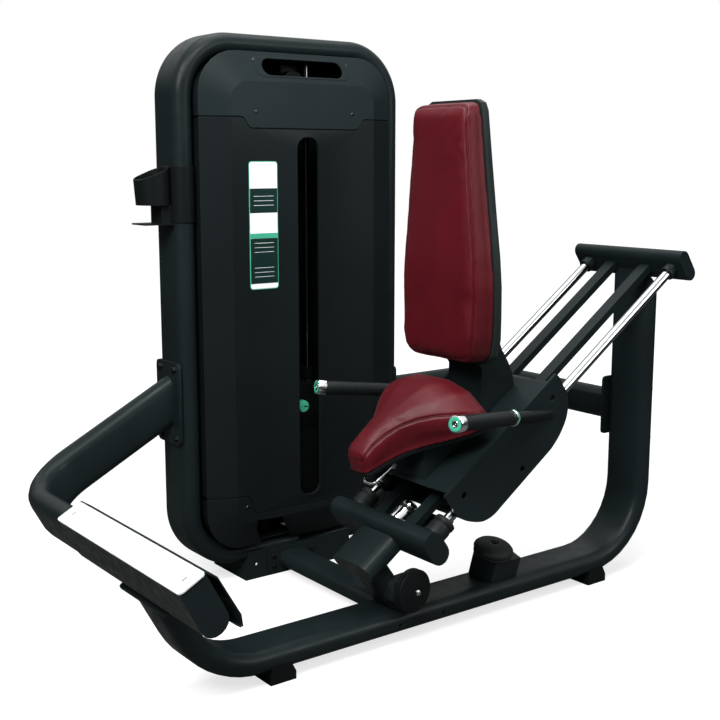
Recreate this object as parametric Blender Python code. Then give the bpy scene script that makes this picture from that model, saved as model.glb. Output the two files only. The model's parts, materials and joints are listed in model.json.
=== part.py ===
"""Seated calf raise machine with a weight stack: solid model, metres, +Z up.

The base tube runs along X with the rear upright at +X and the foot platform at -X.
The weight tower stands at +Y.  Sizes are written once below and the rest is derived.
"""
import math

import bmesh
import bpy
import numpy as np
from mathutils import Matrix, Vector

# Driving dimensions, metres and degrees.
GAP = 0.0003              # clearance left between neighbouring pieces
TUBE_W = 0.136            # flat-oval tube, wide way
TUBE_T = 0.056            # flat-oval tube, thin way
ARM_W = 0.124
ARM_T = 0.058
BRACE_W = 0.090
BRACE_T = 0.050
FLOOR_GAP = 0.028         # underside of the base tube above the floor
BEND_R = 0.205            # centreline radius of the base tube's bends
UPRIGHT_X = 0.769
ARM_TILT = 28.0           # slope of the foot platform arm
PLATFORM_T = -0.5435      # platform centre along the tilted arm plane
PLATFORM_N = 0.653        # arm plane's height along its own normal
PLATFORM_HALF = 0.290     # half length of the foot platform
PLATE_W = 0.066
INCLINE = 35.0            # slope of the guide rods
ROD_H = 0.298             # rod centre height, square to the slope
ROD_Y = 0.145
ROD_R = 0.013
LOW_BAR_S = 0.059         # lower crossbar centre along the slope
LOW_BAR_T = 0.054
UP_BAR_S = 1.1275         # upper crossbar centre along the slope
UP_BAR_T = 0.038
CROSSBAR_W = 0.091
CROSSBAR_HALF = 0.188
RAIL_Y = 0.0605           # rack rails between the rods
RAIL_W = 0.034
RAIL_T = 0.020
TOWER_X = -0.019
TOWER_Y = 0.6124
TOWER_W = 0.730
TOWER_TOP = 1.500
TOWER_R = 0.167           # outer corner radius of the tower ring
RING_LOW = 0.0506         # underside of the tower ring's lower run
BOX_H = 0.082             # height of the box foot that stands round that run
BOX_HALF_X = 0.184
BOX_LEAN = 0.010          # the foot's sides lean in this much
BOX_FRONT = 0.0725        # faces of the foot ahead of and behind the tower's middle
BOX_BACK = 0.108
BOX_WALL = 0.005
COVER_INSET = 0.006
COVER_EDGE = 0.0856       # the skirt ends this far ahead of the tower's middle
COVER_OUT = 0.0016        # and reaches this much over the ring there
COVER_FRONT = 0.118       # front face of the cover ahead of the tower's middle
COVER_CHAMFER = 0.0786    # slope between the skirt's edge and the flat face
COVER_TOP_RISE = 0.007    # the cover reaches this much nearer the top of the tower
FACE_R = 0.056            # corner radius of the flat face
COVER_WALL = 0.003
LIP_Y = -0.012            # rear edge of the covers' lip, from the tower's middle
TRAY_Y = 0.062            # rear face of the rear panel, from the tower's middle
TRAY_DEPTH = 0.030
CLAMP_Z = 1.010           # underside of the cup holder's clamp band
CLAMP_H = 0.146
CLAMP_WALL = 0.004
SLOT_W = 0.074
SLOT_RIM = 0.016          # width and height of the raised rim round the selector slot
SLOT_RISE = 0.007
SLOT_LOW = 0.232
SLOT_DROP = 0.266         # upper end of the selector slot, down from the top
HAND_DROP = 0.087         # middle of the hand slot, down from the top
HAND_W = 0.300
HAND_H = 0.048
KICK_Z = 0.262            # seam between lower panel and kick panel
SEAM_DEPTH = 0.217        # seam between lower panel and upper cover, down from the top
SEAM_DROP = 0.029
KICK_DROP = 0.055
STEP_HALF = 0.185         # half width of the stepped part of both seams
STEP_RUN = 0.031          # length over which a seam bends down
PLATE_COUNT = 7           # weight plates under the head plate
PLATE_PITCH = 0.050
STACK_X = 0.280
STACK_Y = 0.092
STACK_FLOOR = 0.053       # lowest plate above the tower ring's lower run
STACK_STOP_R = 0.024      # rubber stops at the guide rods' feet
STACK_ROD_R = 0.009
STACK_ROD_X = 0.080       # the stack's guide rods from the tower's middle
BUSH_R = 0.017            # guide bushings on the head plate
BUSH_H = 0.043
CARRIAGE_Y = 0.172        # outer face of the carriage side plates
CARRIAGE_T = 0.008
CARRIAGE_S0 = 0.154
CARRIAGE_S1 = 0.600
CARRIAGE_H0 = 0.221
CARRIAGE_H1 = 0.372
SHEAVE_R = 0.054
TOP_SHEAVE_R = 0.036
TOP_GROOVE = 0.006
GRIP_END_R = 0.0205       # end cap of the hand bars
GRIP_END_H = 0.0235
GRIP_LENGTH = 0.216
SHEAVE_TURN = 6.5         # the base sheave's axle is turned this much about the vertical
BEAM_TOP = 0.323          # top of the support beam, square to the slope
BEAM_S0 = -0.073
POST_S = -0.034
CROSS_X = -0.049          # middle of the cross tube and of its flange
CROSS_Z = 0.0416
CROSS_FLANGE = 0.082
BUMPER_TILT = 16.0        # the bumper leans this much towards the near side
BRACE_Z = 0.468
CABLE_R = 0.0025          # radius of the lifting line that the top sheave centres
FOOT_W = 0.128
BASE_HOLES = (-0.133, 0.007)  # threaded holes in the near side of the base tube
SEAT_TILT = 21.5
SEAT_X = -0.218           # underside of the seat's nose
SEAT_Z = 0.436
BACK_FACE = 0.027         # front face of the back pad
BACK_LOW = 0.690
BACK_HIGH = 1.312

OVAL_STEPS = 7            # facets in each round end of a tube
RING_STEPS = 7            # facets in each corner of the tower ring
COS = math.cos(math.radians(INCLINE))
SIN = math.sin(math.radians(INCLINE))
TCOS = math.cos(math.radians(ARM_TILT))
TSIN = math.sin(math.radians(ARM_TILT))
X_AXIS = Vector((1, 0, 0))
Y_AXIS = Vector((0, 1, 0))
Z_AXIS = Vector((0, 0, 1))
SLOPE = Vector((COS, 0, SIN))
SLOPE_UP = Vector((-SIN, 0, COS))
ARM_DIR = Vector((TCOS, 0, TSIN))
ARM_UP = Vector((-TSIN, 0, TCOS))
SLOT_HIGH = TOWER_TOP - SLOT_DROP
SEAM_Z = TOWER_TOP - SEAM_DEPTH
BASE_ZC = FLOOR_GAP + TUBE_T / 2
BASE_TOP = FLOOR_GAP + TUBE_T

COLOURS = {
    "charcoal": (0.045, 0.052, 0.052, 1.0),
    "panel": (0.030, 0.034, 0.034, 1.0),
    "cover": (0.060, 0.068, 0.068, 1.0),
    "chrome": (0.80, 0.81, 0.82, 1.0),
    "steel_white": (0.90, 0.91, 0.91, 1.0),
    "maroon": (0.180, 0.016, 0.026, 1.0),
    "rubber": (0.020, 0.021, 0.021, 1.0),
    "mint": (0.080, 0.560, 0.380, 1.0),
    "black": (0.014, 0.015, 0.015, 1.0),
}
METALS = {"chrome"}


def slope_point(s, h, y=0.0):
    """Point from a distance along the guide slope and a height square to it."""
    return SLOPE * s + SLOPE_UP * h + Y_AXIS * y


def arm_point(t, n, y=0.0):
    """Point in the tilted frame of the foot platform arm."""
    return ARM_DIR * t + ARM_UP * n + Y_AXIS * y


def clear_scene():
    """Remove every object so that the file builds from nothing."""
    for obj in list(bpy.data.objects):
        bpy.data.objects.remove(obj, do_unlink=True)


def material(name):
    """Principled material, made once per colour name."""
    found = bpy.data.materials.get(name)
    if found:
        return found
    mat = bpy.data.materials.new(name)
    mat.use_nodes = True
    shader = mat.node_tree.nodes["Principled BSDF"]
    shader.inputs["Base Color"].default_value = COLOURS[name]
    shader.inputs["Metallic"].default_value = 1.0 if name in METALS else 0.0
    shader.inputs["Roughness"].default_value = 0.15 if name in METALS else 0.45
    mat.diffuse_color = COLOURS[name]
    return mat


def finish(bm, name, colour, origin=None, smooth=False):
    """Turn a bmesh into a named object whose origin may sit on its joint axis."""
    bmesh.ops.remove_doubles(bm, verts=bm.verts, dist=1e-6)
    bmesh.ops.recalc_face_normals(bm, faces=bm.faces)
    if origin is not None:
        bmesh.ops.translate(bm, verts=bm.verts, vec=-origin)
    mesh = bpy.data.meshes.new(name)
    bm.to_mesh(mesh)
    bm.free()
    mesh.materials.append(material(colour))
    if smooth:
        for face in mesh.polygons:
            face.use_smooth = True
    obj = bpy.data.objects.new(name, mesh)
    bpy.context.scene.collection.objects.link(obj)
    if origin is not None:
        obj.location = origin
    bpy.context.view_layer.update()
    return obj


def boolean(target, tool, operation="DIFFERENCE"):
    """Apply one exact Boolean and drop the tool object."""
    tool.hide_render = True
    tool.display_type = "WIRE"
    mod = target.modifiers.new("cut", "BOOLEAN")
    mod.operation = operation
    mod.solver = "EXACT"
    mod.object = tool
    bpy.context.view_layer.update()
    graph = bpy.context.evaluated_depsgraph_get()
    mesh = bpy.data.meshes.new_from_object(target.evaluated_get(graph))
    target.modifiers.clear()
    old = target.data
    mesh.name = old.name
    target.data = mesh
    bpy.data.meshes.remove(old)
    bpy.data.objects.remove(tool, do_unlink=True)
    clean = bmesh.new()
    clean.from_mesh(mesh)
    bmesh.ops.remove_doubles(clean, verts=clean.verts, dist=2e-6)
    bmesh.ops.dissolve_degenerate(clean, edges=clean.edges, dist=1e-6)
    clean.to_mesh(mesh)
    clean.free()
    return target


def oval(width, thick, steps=OVAL_STEPS):
    """Flat-oval outline, wide way first; straight flanks and round ends."""
    half = (width - thick) / 2
    rad = thick / 2
    pts = []
    for i in range(steps + 1):
        a = -math.pi / 2 + math.pi * i / steps
        pts.append((half + rad * math.cos(a), rad * math.sin(a)))
    for i in range(steps + 1):
        a = math.pi / 2 + math.pi * i / steps
        pts.append((-half + rad * math.cos(a), rad * math.sin(a)))
    return pts


def rounded(x0, x1, z0, z1, radius, steps=6):
    """Rounded rectangle outline, counter-clockwise."""
    pts = []
    for cx, cz, start in ((x1 - radius, z0 + radius, -90), (x1 - radius, z1 - radius, 0),
                          (x0 + radius, z1 - radius, 90), (x0 + radius, z0 + radius, 180)):
        for i in range(steps + 1):
            a = math.radians(start + 90 * i / steps)
            pts.append((cx + radius * math.cos(a), cz + radius * math.sin(a)))
    return pts


def path_points(corners, radius, normal, steps=7, closed=False):
    """Round the corners of a flat path; gives points with their unit tangents."""
    count = len(corners)
    out = []
    for i, corner in enumerate(corners):
        before = corners[(i - 1) % count]
        after = corners[(i + 1) % count]
        if not closed and i == 0:
            out.append((corner, (after - corner).normalized()))
            continue
        if not closed and i == count - 1:
            out.append((corner, (corner - before).normalized()))
            continue
        a = (corner - before).normalized()
        b = (after - corner).normalized()
        turn = a.angle(b)
        reach = radius * math.tan(turn / 2)
        sign = 1.0 if a.cross(b).dot(normal) > 0 else -1.0
        centre = corner - a * reach + normal.cross(a) * radius * sign
        start = corner - a * reach - centre
        for k in range(steps + 1):
            spin = Matrix.Rotation(sign * turn * k / steps, 3, normal)
            out.append((centre + spin @ start, spin @ a))
    return out


def loft(name, colour, rings, closed=False, keep_origin=None, smooth=False):
    """Skin a row of equal rings of points and cap the two ends."""
    bm = bmesh.new()
    loops = []
    for ring in rings:
        loops.append([bm.verts.new(point) for point in ring])
    count = len(loops[0])
    spans = len(loops) if closed else len(loops) - 1
    for i in range(spans):
        a = loops[i]
        b = loops[(i + 1) % len(loops)]
        for k in range(count):
            j = (k + 1) % count
            bm.faces.new((a[k], a[j], b[j], b[k]))
    if not closed:
        bm.faces.new(loops[0])
        bm.faces.new(list(reversed(loops[-1])))
    return finish(bm, name, colour, keep_origin, smooth)


def sweep(name, colour, corners, radius, normal, section, closed=False, steps=7):
    """Bent tube: carry a section along a flat path; its wide way follows the normal."""
    rings = []
    for point, tangent in path_points(corners, radius, normal, steps, closed):
        side = tangent.cross(normal).normalized()
        rings.append([point + normal * w + side * t for w, t in section])
    return loft(name, colour, rings, closed)


def prism(name, colour, outline, origin, u, v, depth, keep_origin=None):
    """Push a flat outline along u x v by the depth."""
    bm = bmesh.new()
    w = u.cross(v).normalized()
    low = [bm.verts.new(origin + u * a + v * b) for a, b in outline]
    high = [bm.verts.new(origin + u * a + v * b + w * depth) for a, b in outline]
    count = len(outline)
    for k in range(count):
        j = (k + 1) % count
        bm.faces.new((low[k], low[j], high[j], high[k]))
    bm.faces.new(list(reversed(low)))
    bm.faces.new(high)
    return finish(bm, name, colour, keep_origin)


def box(name, colour, x0, x1, y0, y1, z0, z1):
    """Plain box between two corners."""
    outline = [(x0, y0), (x1, y0), (x1, y1), (x0, y1)]
    return prism(name, colour, outline, Vector((0, 0, z0)), X_AXIS, Y_AXIS, z1 - z0)


def lathe(name, colour, profile, base, axis, steps=20, keep_origin=None):
    """Turn a closed (radius, height) profile about an axis."""
    axis = axis.normalized()
    seed = X_AXIS if abs(axis.x) < 0.8 else Y_AXIS
    u = axis.cross(seed).normalized()
    v = axis.cross(u)
    bm = bmesh.new()
    loops = []
    for rad, high in profile:
        if rad < 1e-7:
            loops.append([bm.verts.new(base + axis * high)])
            continue
        loop = []
        for k in range(steps):
            a = 2 * math.pi * k / steps
            loop.append(bm.verts.new(base + axis * high + (u * math.cos(a) + v * math.sin(a)) * rad))
        loops.append(loop)
    count = len(loops)
    for i in range(count):
        a = loops[i]
        b = loops[(i + 1) % count]
        if len(a) == 1 and len(b) == 1:
            continue
        for k in range(steps):
            j = (k + 1) % steps
            if len(a) == 1:
                bm.faces.new((a[0], b[j], b[k]))
            elif len(b) == 1:
                bm.faces.new((a[k], a[j], b[0]))
            else:
                bm.faces.new((a[k], a[j], b[j], b[k]))
    return finish(bm, name, colour, keep_origin, smooth=True)


def rod(name, colour, start, end, radius, steps=16, keep_origin=None):
    """Round bar between two points with a small chamfer on each end."""
    length = (end - start).length
    cham = min(radius * 0.18, length / 8)
    profile = [(0, 0), (radius - cham, 0), (radius, cham), (radius, length - cham),
               (radius - cham, length), (0, length)]
    return lathe(name, colour, profile, start, end - start, steps, keep_origin)


def drill(target, start, direction, radius, length, steps=14):
    """Cut a round hole."""
    profile = [(0, 0), (radius, 0), (radius, length), (0, length)]
    return boolean(target, lathe("cutter", "black", profile, start, direction, steps))


def base_corners():
    """Corner points of the base tube's centreline: platform end, two bends, upright."""
    top = arm_point(PLATFORM_T, PLATFORM_N - ARM_W / 2 - 0.006)
    front_x = (PLATFORM_T - BASE_ZC * TSIN) / TCOS
    return [top, Vector((front_x, 0, BASE_ZC)), Vector((UPRIGHT_X, 0, BASE_ZC)),
            Vector((UPRIGHT_X, 0, 1.0))]


def cut_base_room(target):
    """Remove the base tube's shape, grown by the clearance, from a piece that sits on it."""
    section = oval(TUBE_W + 2 * GAP, TUBE_T + 2 * GAP)
    tool = sweep("cutter", "black", base_corners(), BEND_R, Y_AXIS, section, steps=9)
    return boolean(target, tool)


def fuse(target, tool, colour):
    """Join a second solid to a piece and keep one material."""
    boolean(target, tool, "UNION")
    target.data.materials.clear()
    target.data.materials.append(material(colour))
    return target


def make_base():
    """Base tube with its two bends, and the feet it stands on."""
    tube = sweep("base_tube", "charcoal", base_corners(), BEND_R, Y_AXIS, oval(TUBE_W, TUBE_T), steps=9)
    face = UP_BAR_S - UP_BAR_T / 2 - GAP
    cutter = prism("cutter", "black", [(0, -0.5), (0.8, -0.5), (0.8, 0.8), (-0.2, 0.8), (-0.2, 0), (0, 0)],
                   slope_point(face, ROD_H - RAIL_T / 2 - GAP, 0.2), SLOPE, SLOPE_UP, 0.4)
    boolean(tube, cutter)
    for x in BASE_HOLES:
        drill(tube, Vector((x, -TUBE_W / 2 - 0.01, BASE_ZC - 0.003)), Y_AXIS, 0.0045, 0.03, 12)
    saddle = prism("cutter", "black", rounded(-0.110, 0.110, -0.034, 0.0295, 0.008, 2),
                   arm_point(PLATFORM_T, PLATFORM_N - ARM_W / 2 - GAP), Y_AXIS, ARM_DIR, 0.0067)
    fuse(tube, saddle, "charcoal")
    half = FOOT_W / 2
    for name, x0, x1 in (("foot_front", -0.505, -0.436), ("foot_rear", 0.542, 0.612)):
        rings = []
        for z, grow, left, right in ((0.0, 0.0, x0, x1), (0.020, 0.0, x0, x1),
                                     (0.045, 0.0015, x0 + 0.004, x1 - 0.014)):
            wide = half + grow
            rings.append([Vector((left, -wide, z)), Vector((right, -wide, z)),
                          Vector((right, wide, z)), Vector((left, wide, z))])
        cut_base_room(loft(name, "rubber", rings))


def make_platform():
    """Foot platform: bent arm with its flange, channel with its end cap, plate, toe plate."""
    tower_side = TOWER_X - TOWER_W / 2
    start_t = (tower_side - GAP - 0.010 + PLATFORM_N * TSIN) / TCOS
    start = arm_point(start_t, PLATFORM_N, TOWER_Y)
    bend = arm_point(PLATFORM_T, PLATFORM_N, TOWER_Y)
    end = arm_point(PLATFORM_T, PLATFORM_N, PLATFORM_HALF + GAP)
    arm = sweep("platform_arm", "charcoal", [start + ARM_DIR * 0.06, bend, end], 0.135, ARM_UP,
                oval(ARM_W, ARM_T), steps=10)
    boolean(arm, box("cutter", "black", tower_side - GAP - 0.0095, 0.4, 0, 1.2, 0, 1.2))
    flange = prism("cutter", "charcoal", rounded(-0.062, 0.062, -0.112, 0.112, 0.014, 3),
                   Vector((tower_side - GAP - 0.010, TOWER_Y, 0.528)), Y_AXIS, Z_AXIS, 0.010)
    fuse(arm, flange, "charcoal")
    top_n = PLATFORM_N + ARM_W / 2 + 0.004
    half_t = PLATE_W / 2 - 0.001
    outline = []
    for i in range(9):
        a = math.pi + math.pi * i / 8
        outline.append((half_t * math.cos(a), -ARM_W / 2 + ARM_T / 2 + ARM_T / 2 * math.sin(a)))
    outline += [(half_t, ARM_W / 2 + 0.004), (-half_t, ARM_W / 2 + 0.004)]
    centre = arm_point(PLATFORM_T, PLATFORM_N, PLATFORM_HALF)
    channel = prism("platform_channel", "charcoal", outline, centre, ARM_DIR, ARM_UP,
                    2 * PLATFORM_HALF - 0.006)
    cap = [(a * 1.02, b) for a, b in outline]
    lid = prism("cutter", "charcoal", cap, arm_point(PLATFORM_T, PLATFORM_N, -PLATFORM_HALF + 0.0070),
                ARM_DIR, ARM_UP, 0.0058)
    fuse(channel, lid, "charcoal")
    plate = [(PLATFORM_T - PLATE_W / 2, top_n + GAP), (PLATFORM_T + PLATE_W / 2, top_n + GAP),
             (PLATFORM_T + PLATE_W / 2, top_n + 0.0045), (PLATFORM_T - PLATE_W / 2, top_n + 0.0045)]
    half = PLATFORM_HALF + 0.002
    foot_plate = prism("foot_plate", "steel_white", plate, Y_AXIS * half, ARM_DIR, ARM_UP, 2 * half)
    for y in (half - 0.030, -half + 0.030):
        spot = [(a + PLATFORM_T, b) for a, b in oval(0.011, 0.004, 4)]
        slot = prism("cutter", "black", spot,
                     Y_AXIS * y + ARM_UP * (top_n - 0.01), ARM_DIR, Y_AXIS, 0.03)
        boolean(foot_plate, slot)
    t0 = PLATFORM_T + PLATE_W / 2 + GAP
    n0 = top_n + 0.004
    lip = [(t0, n0), (t0 + 0.003, n0), (t0 + 0.016, n0 - 0.024), (t0 + 0.020, n0 - 0.126),
           (t0 + 0.0115, n0 - 0.150), (t0 + 0.0045, n0 - 0.1480), (t0 - 0.003, n0 - 0.133),
           (t0 - 0.0003, n0 - 0.132), (t0 + 0.0062, n0 - 0.1450), (t0 + 0.0093, n0 - 0.1459),
           (t0 + 0.0165, n0 - 0.1255),
           (t0 + 0.0125, n0 - 0.026), (t0 + 0.002, n0 - 0.007), (t0, n0 - 0.006)]
    cut_base_room(prism("toe_plate", "charcoal", lip, Y_AXIS * half, ARM_DIR, ARM_UP, 2 * half))


def make_crossbars():
    """Upper and lower crossbars with the guide rods, buffers and rack rails between them."""
    low = LOW_BAR_S + LOW_BAR_T / 2
    high = UP_BAR_S - UP_BAR_T / 2
    bore = ROD_R + GAP
    for name, s, thick in (("lower_crossbar", LOW_BAR_S, LOW_BAR_T),
                           ("upper_crossbar", UP_BAR_S, UP_BAR_T)):
        outline = [(b + s, a + ROD_H) for a, b in oval(CROSSBAR_W, thick, 8)]
        bar = prism(name, "charcoal", outline, Y_AXIS * CROSSBAR_HALF, SLOPE, SLOPE_UP,
                    2 * CROSSBAR_HALF)
        if name == "lower_crossbar":
            ledge = [(s, ROD_H - 0.0375), (s + 0.104, ROD_H - 0.0375), (s + 0.104, ROD_H - 0.0335),
                     (s, ROD_H - 0.0335)]
            shelf = prism("cutter", "charcoal", ledge, Y_AXIS * 0.125, SLOPE, SLOPE_UP, 0.250)
            fuse(bar, shelf, "charcoal")
        if name == "upper_crossbar":
            for y in (-ROD_Y, ROD_Y):
                collar = [(bore, 0), (0.020, 0), (0.020, 0.023), (bore, 0.023)]
                ring = lathe("cutter", "charcoal", collar, slope_point(high - 0.022, ROD_H, y), SLOPE, 18)
                fuse(bar, ring, "charcoal")
    for tag, y in (("near", -ROD_Y), ("far", ROD_Y)):
        rod("guide_rod_" + tag, "chrome", slope_point(low + GAP, ROD_H, y),
            slope_point(high - GAP, ROD_H, y), ROD_R, 18)
        length = 0.050
        profile = [(bore, 0), (0.025, 0), (0.027, 0.003), (0.027, 0.030), (0.0235, 0.033),
                   (0.0235, 0.036), (0.027, 0.039), (0.027, length - 0.003), (0.024, length),
                   (bore, length)]
        lathe("buffer_" + tag, "rubber", profile, slope_point(low + GAP, ROD_H, y), SLOPE, 20)
        outline = [(-RAIL_W / 2, -RAIL_T / 2), (RAIL_W / 2, -RAIL_T / 2), (RAIL_W / 2, RAIL_T / 2),
                   (-RAIL_W / 2, RAIL_T / 2)]
        start = slope_point(low + GAP, ROD_H, math.copysign(RAIL_Y, y))
        prism("rack_rail_" + tag, "charcoal", outline, start, Y_AXIS, SLOPE_UP, high - low - 2 * GAP)
    wide = RAIL_Y - RAIL_W / 2 - 0.0190
    profile = [(0, 0), (wide, 0), (wide, 0.038), (wide - 0.004, 0.040), (wide - 0.004, 0.046),
               (wide, 0.048), (wide, 0.060), (wide - 0.005, 0.065), (0, 0.065)]
    lathe("end_stop", "chrome", profile, slope_point(low + GAP, ROD_H - 0.004), SLOPE, 24)


def make_supports():
    """Sloping beam that meets the lower crossbar, its post, and the bumper on the base."""
    beam_h = BEAM_TOP - TUBE_T / 2
    start = slope_point(BEAM_S0, beam_h)
    end = slope_point(LOW_BAR_S, beam_h)
    beam = sweep("support_beam", "charcoal", [start, end], 0.1, Y_AXIS, oval(0.146, TUBE_T), steps=2)
    foot_h = (BASE_TOP - 0.030 - POST_S * SIN) / COS
    post = sweep("cutter", "charcoal", [slope_point(POST_S, beam_h), slope_point(POST_S, foot_h)],
                 0.1, Y_AXIS, oval(0.110, TUBE_T), steps=2)
    fuse(beam, post, "charcoal")
    centre = sheave_centre()
    axle = sheave_axle()
    side = Z_AXIS.cross(axle)
    bracket = prism("cutter", "charcoal", rounded(-0.050, 0.022, -0.024, 0.030, 0.008, 2),
                    centre - axle * 0.050, side, Z_AXIS, 0.0355)
    fuse(beam, bracket, "charcoal")
    pin = lathe("cutter", "charcoal", [(0, 0), (0.0040, 0), (0.0040, 0.035), (0, 0.035)],
                centre - axle * 0.018, axle, 12)
    fuse(beam, pin, "charcoal")
    room = [(b + LOW_BAR_S, a + ROD_H) for a, b in oval(CROSSBAR_W + 2 * GAP, LOW_BAR_T + 2 * GAP, 8)]
    boolean(beam, prism("cutter", "black", room, Y_AXIS * 0.2, SLOPE, SLOPE_UP, 0.4))
    cut_base_room(beam)
    tilt = math.radians(BUMPER_TILT)
    axis = Vector((0, -math.sin(tilt), math.cos(tilt)))
    back = Vector((0, math.cos(tilt), math.sin(tilt)))
    corner = Vector((0.182, -0.050, BASE_TOP))
    high = 0.058
    box_plan = [(0, 0), (0.092, 0), (0.092, 0.085), (0, 0.085)]
    cut_base_room(prism("bumper_box", "charcoal", box_plan, corner - axis * 0.035, X_AXIS, back,
                        high + 0.035))
    spot = corner + X_AXIS * 0.026 + back * 0.0425 + axis * (high + GAP)
    profile = [(0, 0), (0.044, 0), (0.051, 0.004), (0.051, 0.010), (0.047, 0.013), (0.053, 0.016),
               (0.050, 0.024), (0.030, 0.034), (0.010, 0.037), (0.010, 0.033), (0, 0.033)]
    lathe("bumper_pad", "rubber", profile, spot, axis, 28)


def sheave_centre():
    """Centre of the base sheave, clear of the base tube."""
    return Vector((-0.110, -0.085, BASE_TOP + SHEAVE_R + 0.004))


def sheave_axle():
    """Direction of the base sheave's axle, outwards from its bracket."""
    turn = math.radians(SHEAVE_TURN)
    return Vector((math.sin(turn), -math.cos(turn), 0))


def make_sheaves():
    """Grooved sheaves: one beside the post and one on its hanger inside the tower."""
    centre = sheave_centre()
    r = SHEAVE_R
    profile = [(0.0045, -0.013), (r - 0.004, -0.013), (r, -0.011), (r, -0.008), (r - 0.010, -0.003),
               (r - 0.010, -0.001), (r, 0.004), (r, 0.007), (r - 0.004, 0.0090), (0.018, 0.0185),
               (0.0105, 0.0185), (0.0100, 0.0130), (0.0045, 0.0130)]
    lathe("base_sheave", "black", profile, centre, sheave_axle(), 28, keep_origin=centre)
    top = top_sheave_centre()
    r = TOP_SHEAVE_R
    profile = [(0.0065, -0.011), (r, -0.011), (r, -0.008), (r - TOP_GROOVE, -0.002),
               (r - TOP_GROOVE, 0.002), (r, 0.008), (r, 0.011), (0.0065, 0.011)]
    lathe("top_sheave", "black", profile, top, Y_AXIS, 20, keep_origin=top)
    reach = ring_inner_top() - top.z - GAP
    hanger = [(-0.022, -0.024), (0.022, -0.024), (0.022, 0.0), (0.030, reach), (-0.030, reach),
              (-0.022, 0.0)]
    bracket = prism("top_hanger", "charcoal", hanger, top + Y_AXIS * 0.018, X_AXIS, Z_AXIS, 0.005)
    pin = lathe("cutter", "charcoal", [(0, 0), (0.006, 0), (0.006, 0.0315), (0, 0.0315)],
                top + Y_AXIS * 0.0165, -Y_AXIS, 12)
    fuse(bracket, pin, "charcoal")


def ring_inner_top():
    """Underside of the tower ring's top run."""
    return TOWER_TOP - TUBE_T


def top_sheave_centre():
    """The stack cable leaves this sheave straight above the head plate."""
    reach = TOP_SHEAVE_R - TOP_GROOVE + CABLE_R + GAP
    return Vector((TOWER_X + reach, TOWER_Y, ring_inner_top() - 0.065))


def make_tower_frame():
    """Tower ring, box foot and the cross tube that joins it to the base."""
    half = TUBE_T / 2
    x0 = TOWER_X - TOWER_W / 2 + half
    x1 = TOWER_X + TOWER_W / 2 - half
    z0 = RING_LOW + half
    z1 = TOWER_TOP - half
    corners = [Vector((x, TOWER_Y, z)) for x, z in ((x0, z0), (x1, z0), (x1, z1), (x0, z1))]
    sweep("tower_ring", "charcoal", corners, TOWER_R - half, Y_AXIS, oval(TUBE_W, TUBE_T),
          closed=True, steps=RING_STEPS)
    foot = foot_box("tower_foot", 0.0, 0.0)
    boolean(foot, foot_box("cutter", BOX_WALL, -0.02))
    ends = [Vector((TOWER_X + x, TOWER_Y, z0)) for x in (-0.25, 0.25)]
    room = oval(TUBE_W + 2 * GAP, TUBE_T + 2 * GAP)
    boolean(foot, sweep("cutter", "black", ends, 0.1, Y_AXIS, room, steps=2))
    for x in (-1, 1):
        drill(foot, Vector((TOWER_X + x * 0.148, TOWER_Y - 0.08, 0.042)), Y_AXIS, 0.0045, 0.03, 10)
        for y in (-0.033, 0.075):
            start = Vector((TOWER_X + x * (BOX_HALF_X + 0.01), TOWER_Y + y, 0.028))
            drill(foot, start, -X_AXIS * x, 0.0045, 0.03, 10)
    y1 = TOWER_Y - BOX_FRONT - GAP
    run = [Vector((CROSS_X, y1 - 0.003, CROSS_Z)), Vector((CROSS_X, TUBE_W / 2 - TUBE_T / 2, CROSS_Z))]
    cross = sweep("cross_tube", "charcoal", run, 0.1, X_AXIS, oval(BRACE_W, BRACE_T), steps=2)
    high = BOX_H - 0.005 - CROSS_Z
    plate = prism("cutter", "charcoal", rounded(-CROSS_FLANGE, CROSS_FLANGE, -high, high, 0.006, 2),
                  Vector((CROSS_X, y1, CROSS_Z)), X_AXIS, Z_AXIS, 0.0062)
    fuse(cross, plate, "charcoal")
    for x, z in ((-1, -1), (1, -1), (1, 1), (-1, 1)):
        spot = Vector((CROSS_X + x * (CROSS_FLANGE - 0.017), y1 - 0.02, CROSS_Z + z * 0.015))
        drill(cross, spot, Y_AXIS, 0.0045, 0.03, 10)
    cut_base_room(cross)


def foot_box(name, wall, low):
    """Tapered box under the tower; the wall thickness gives its hollow inside."""
    rings = []
    for z in (low, BOX_H - wall):
        half = BOX_HALF_X - wall - BOX_LEAN * max(z, 0.0) / BOX_H
        y0 = TOWER_Y - BOX_FRONT + wall
        y1 = TOWER_Y + BOX_BACK - wall
        rings.append([Vector((TOWER_X - half, y0, z)), Vector((TOWER_X + half, y0, z)),
                      Vector((TOWER_X + half, y1, z)), Vector((TOWER_X - half, y1, z))])
    return loft(name, "charcoal", rings)


def make_brace():
    """Rear brace from the tower's side to the upright, with its two flanges."""
    side = TOWER_X + TOWER_W / 2 + GAP
    z = BRACE_Z
    y_end = TUBE_W / 2 + GAP
    corners = [Vector((side + 0.004, TOWER_Y, z)), Vector((UPRIGHT_X, TOWER_Y, z)),
               Vector((UPRIGHT_X, y_end + 0.004, z))]
    brace = sweep("rear_brace", "charcoal", corners, 0.135, Z_AXIS, oval(BRACE_W, BRACE_T), steps=9)
    flange = prism("cutter", "charcoal", rounded(-0.040, 0.040, -0.085, 0.085, 0.010, 2),
                   Vector((UPRIGHT_X, y_end + 0.008, z)), X_AXIS, Z_AXIS, 0.008)
    fuse(brace, flange, "charcoal")
    flange = prism("cutter", "charcoal", rounded(-0.050, 0.050, -0.085, 0.085, 0.010, 2),
                   Vector((side, TOWER_Y, z)), Y_AXIS, Z_AXIS, 0.008)
    fuse(brace, flange, "charcoal")


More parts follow.
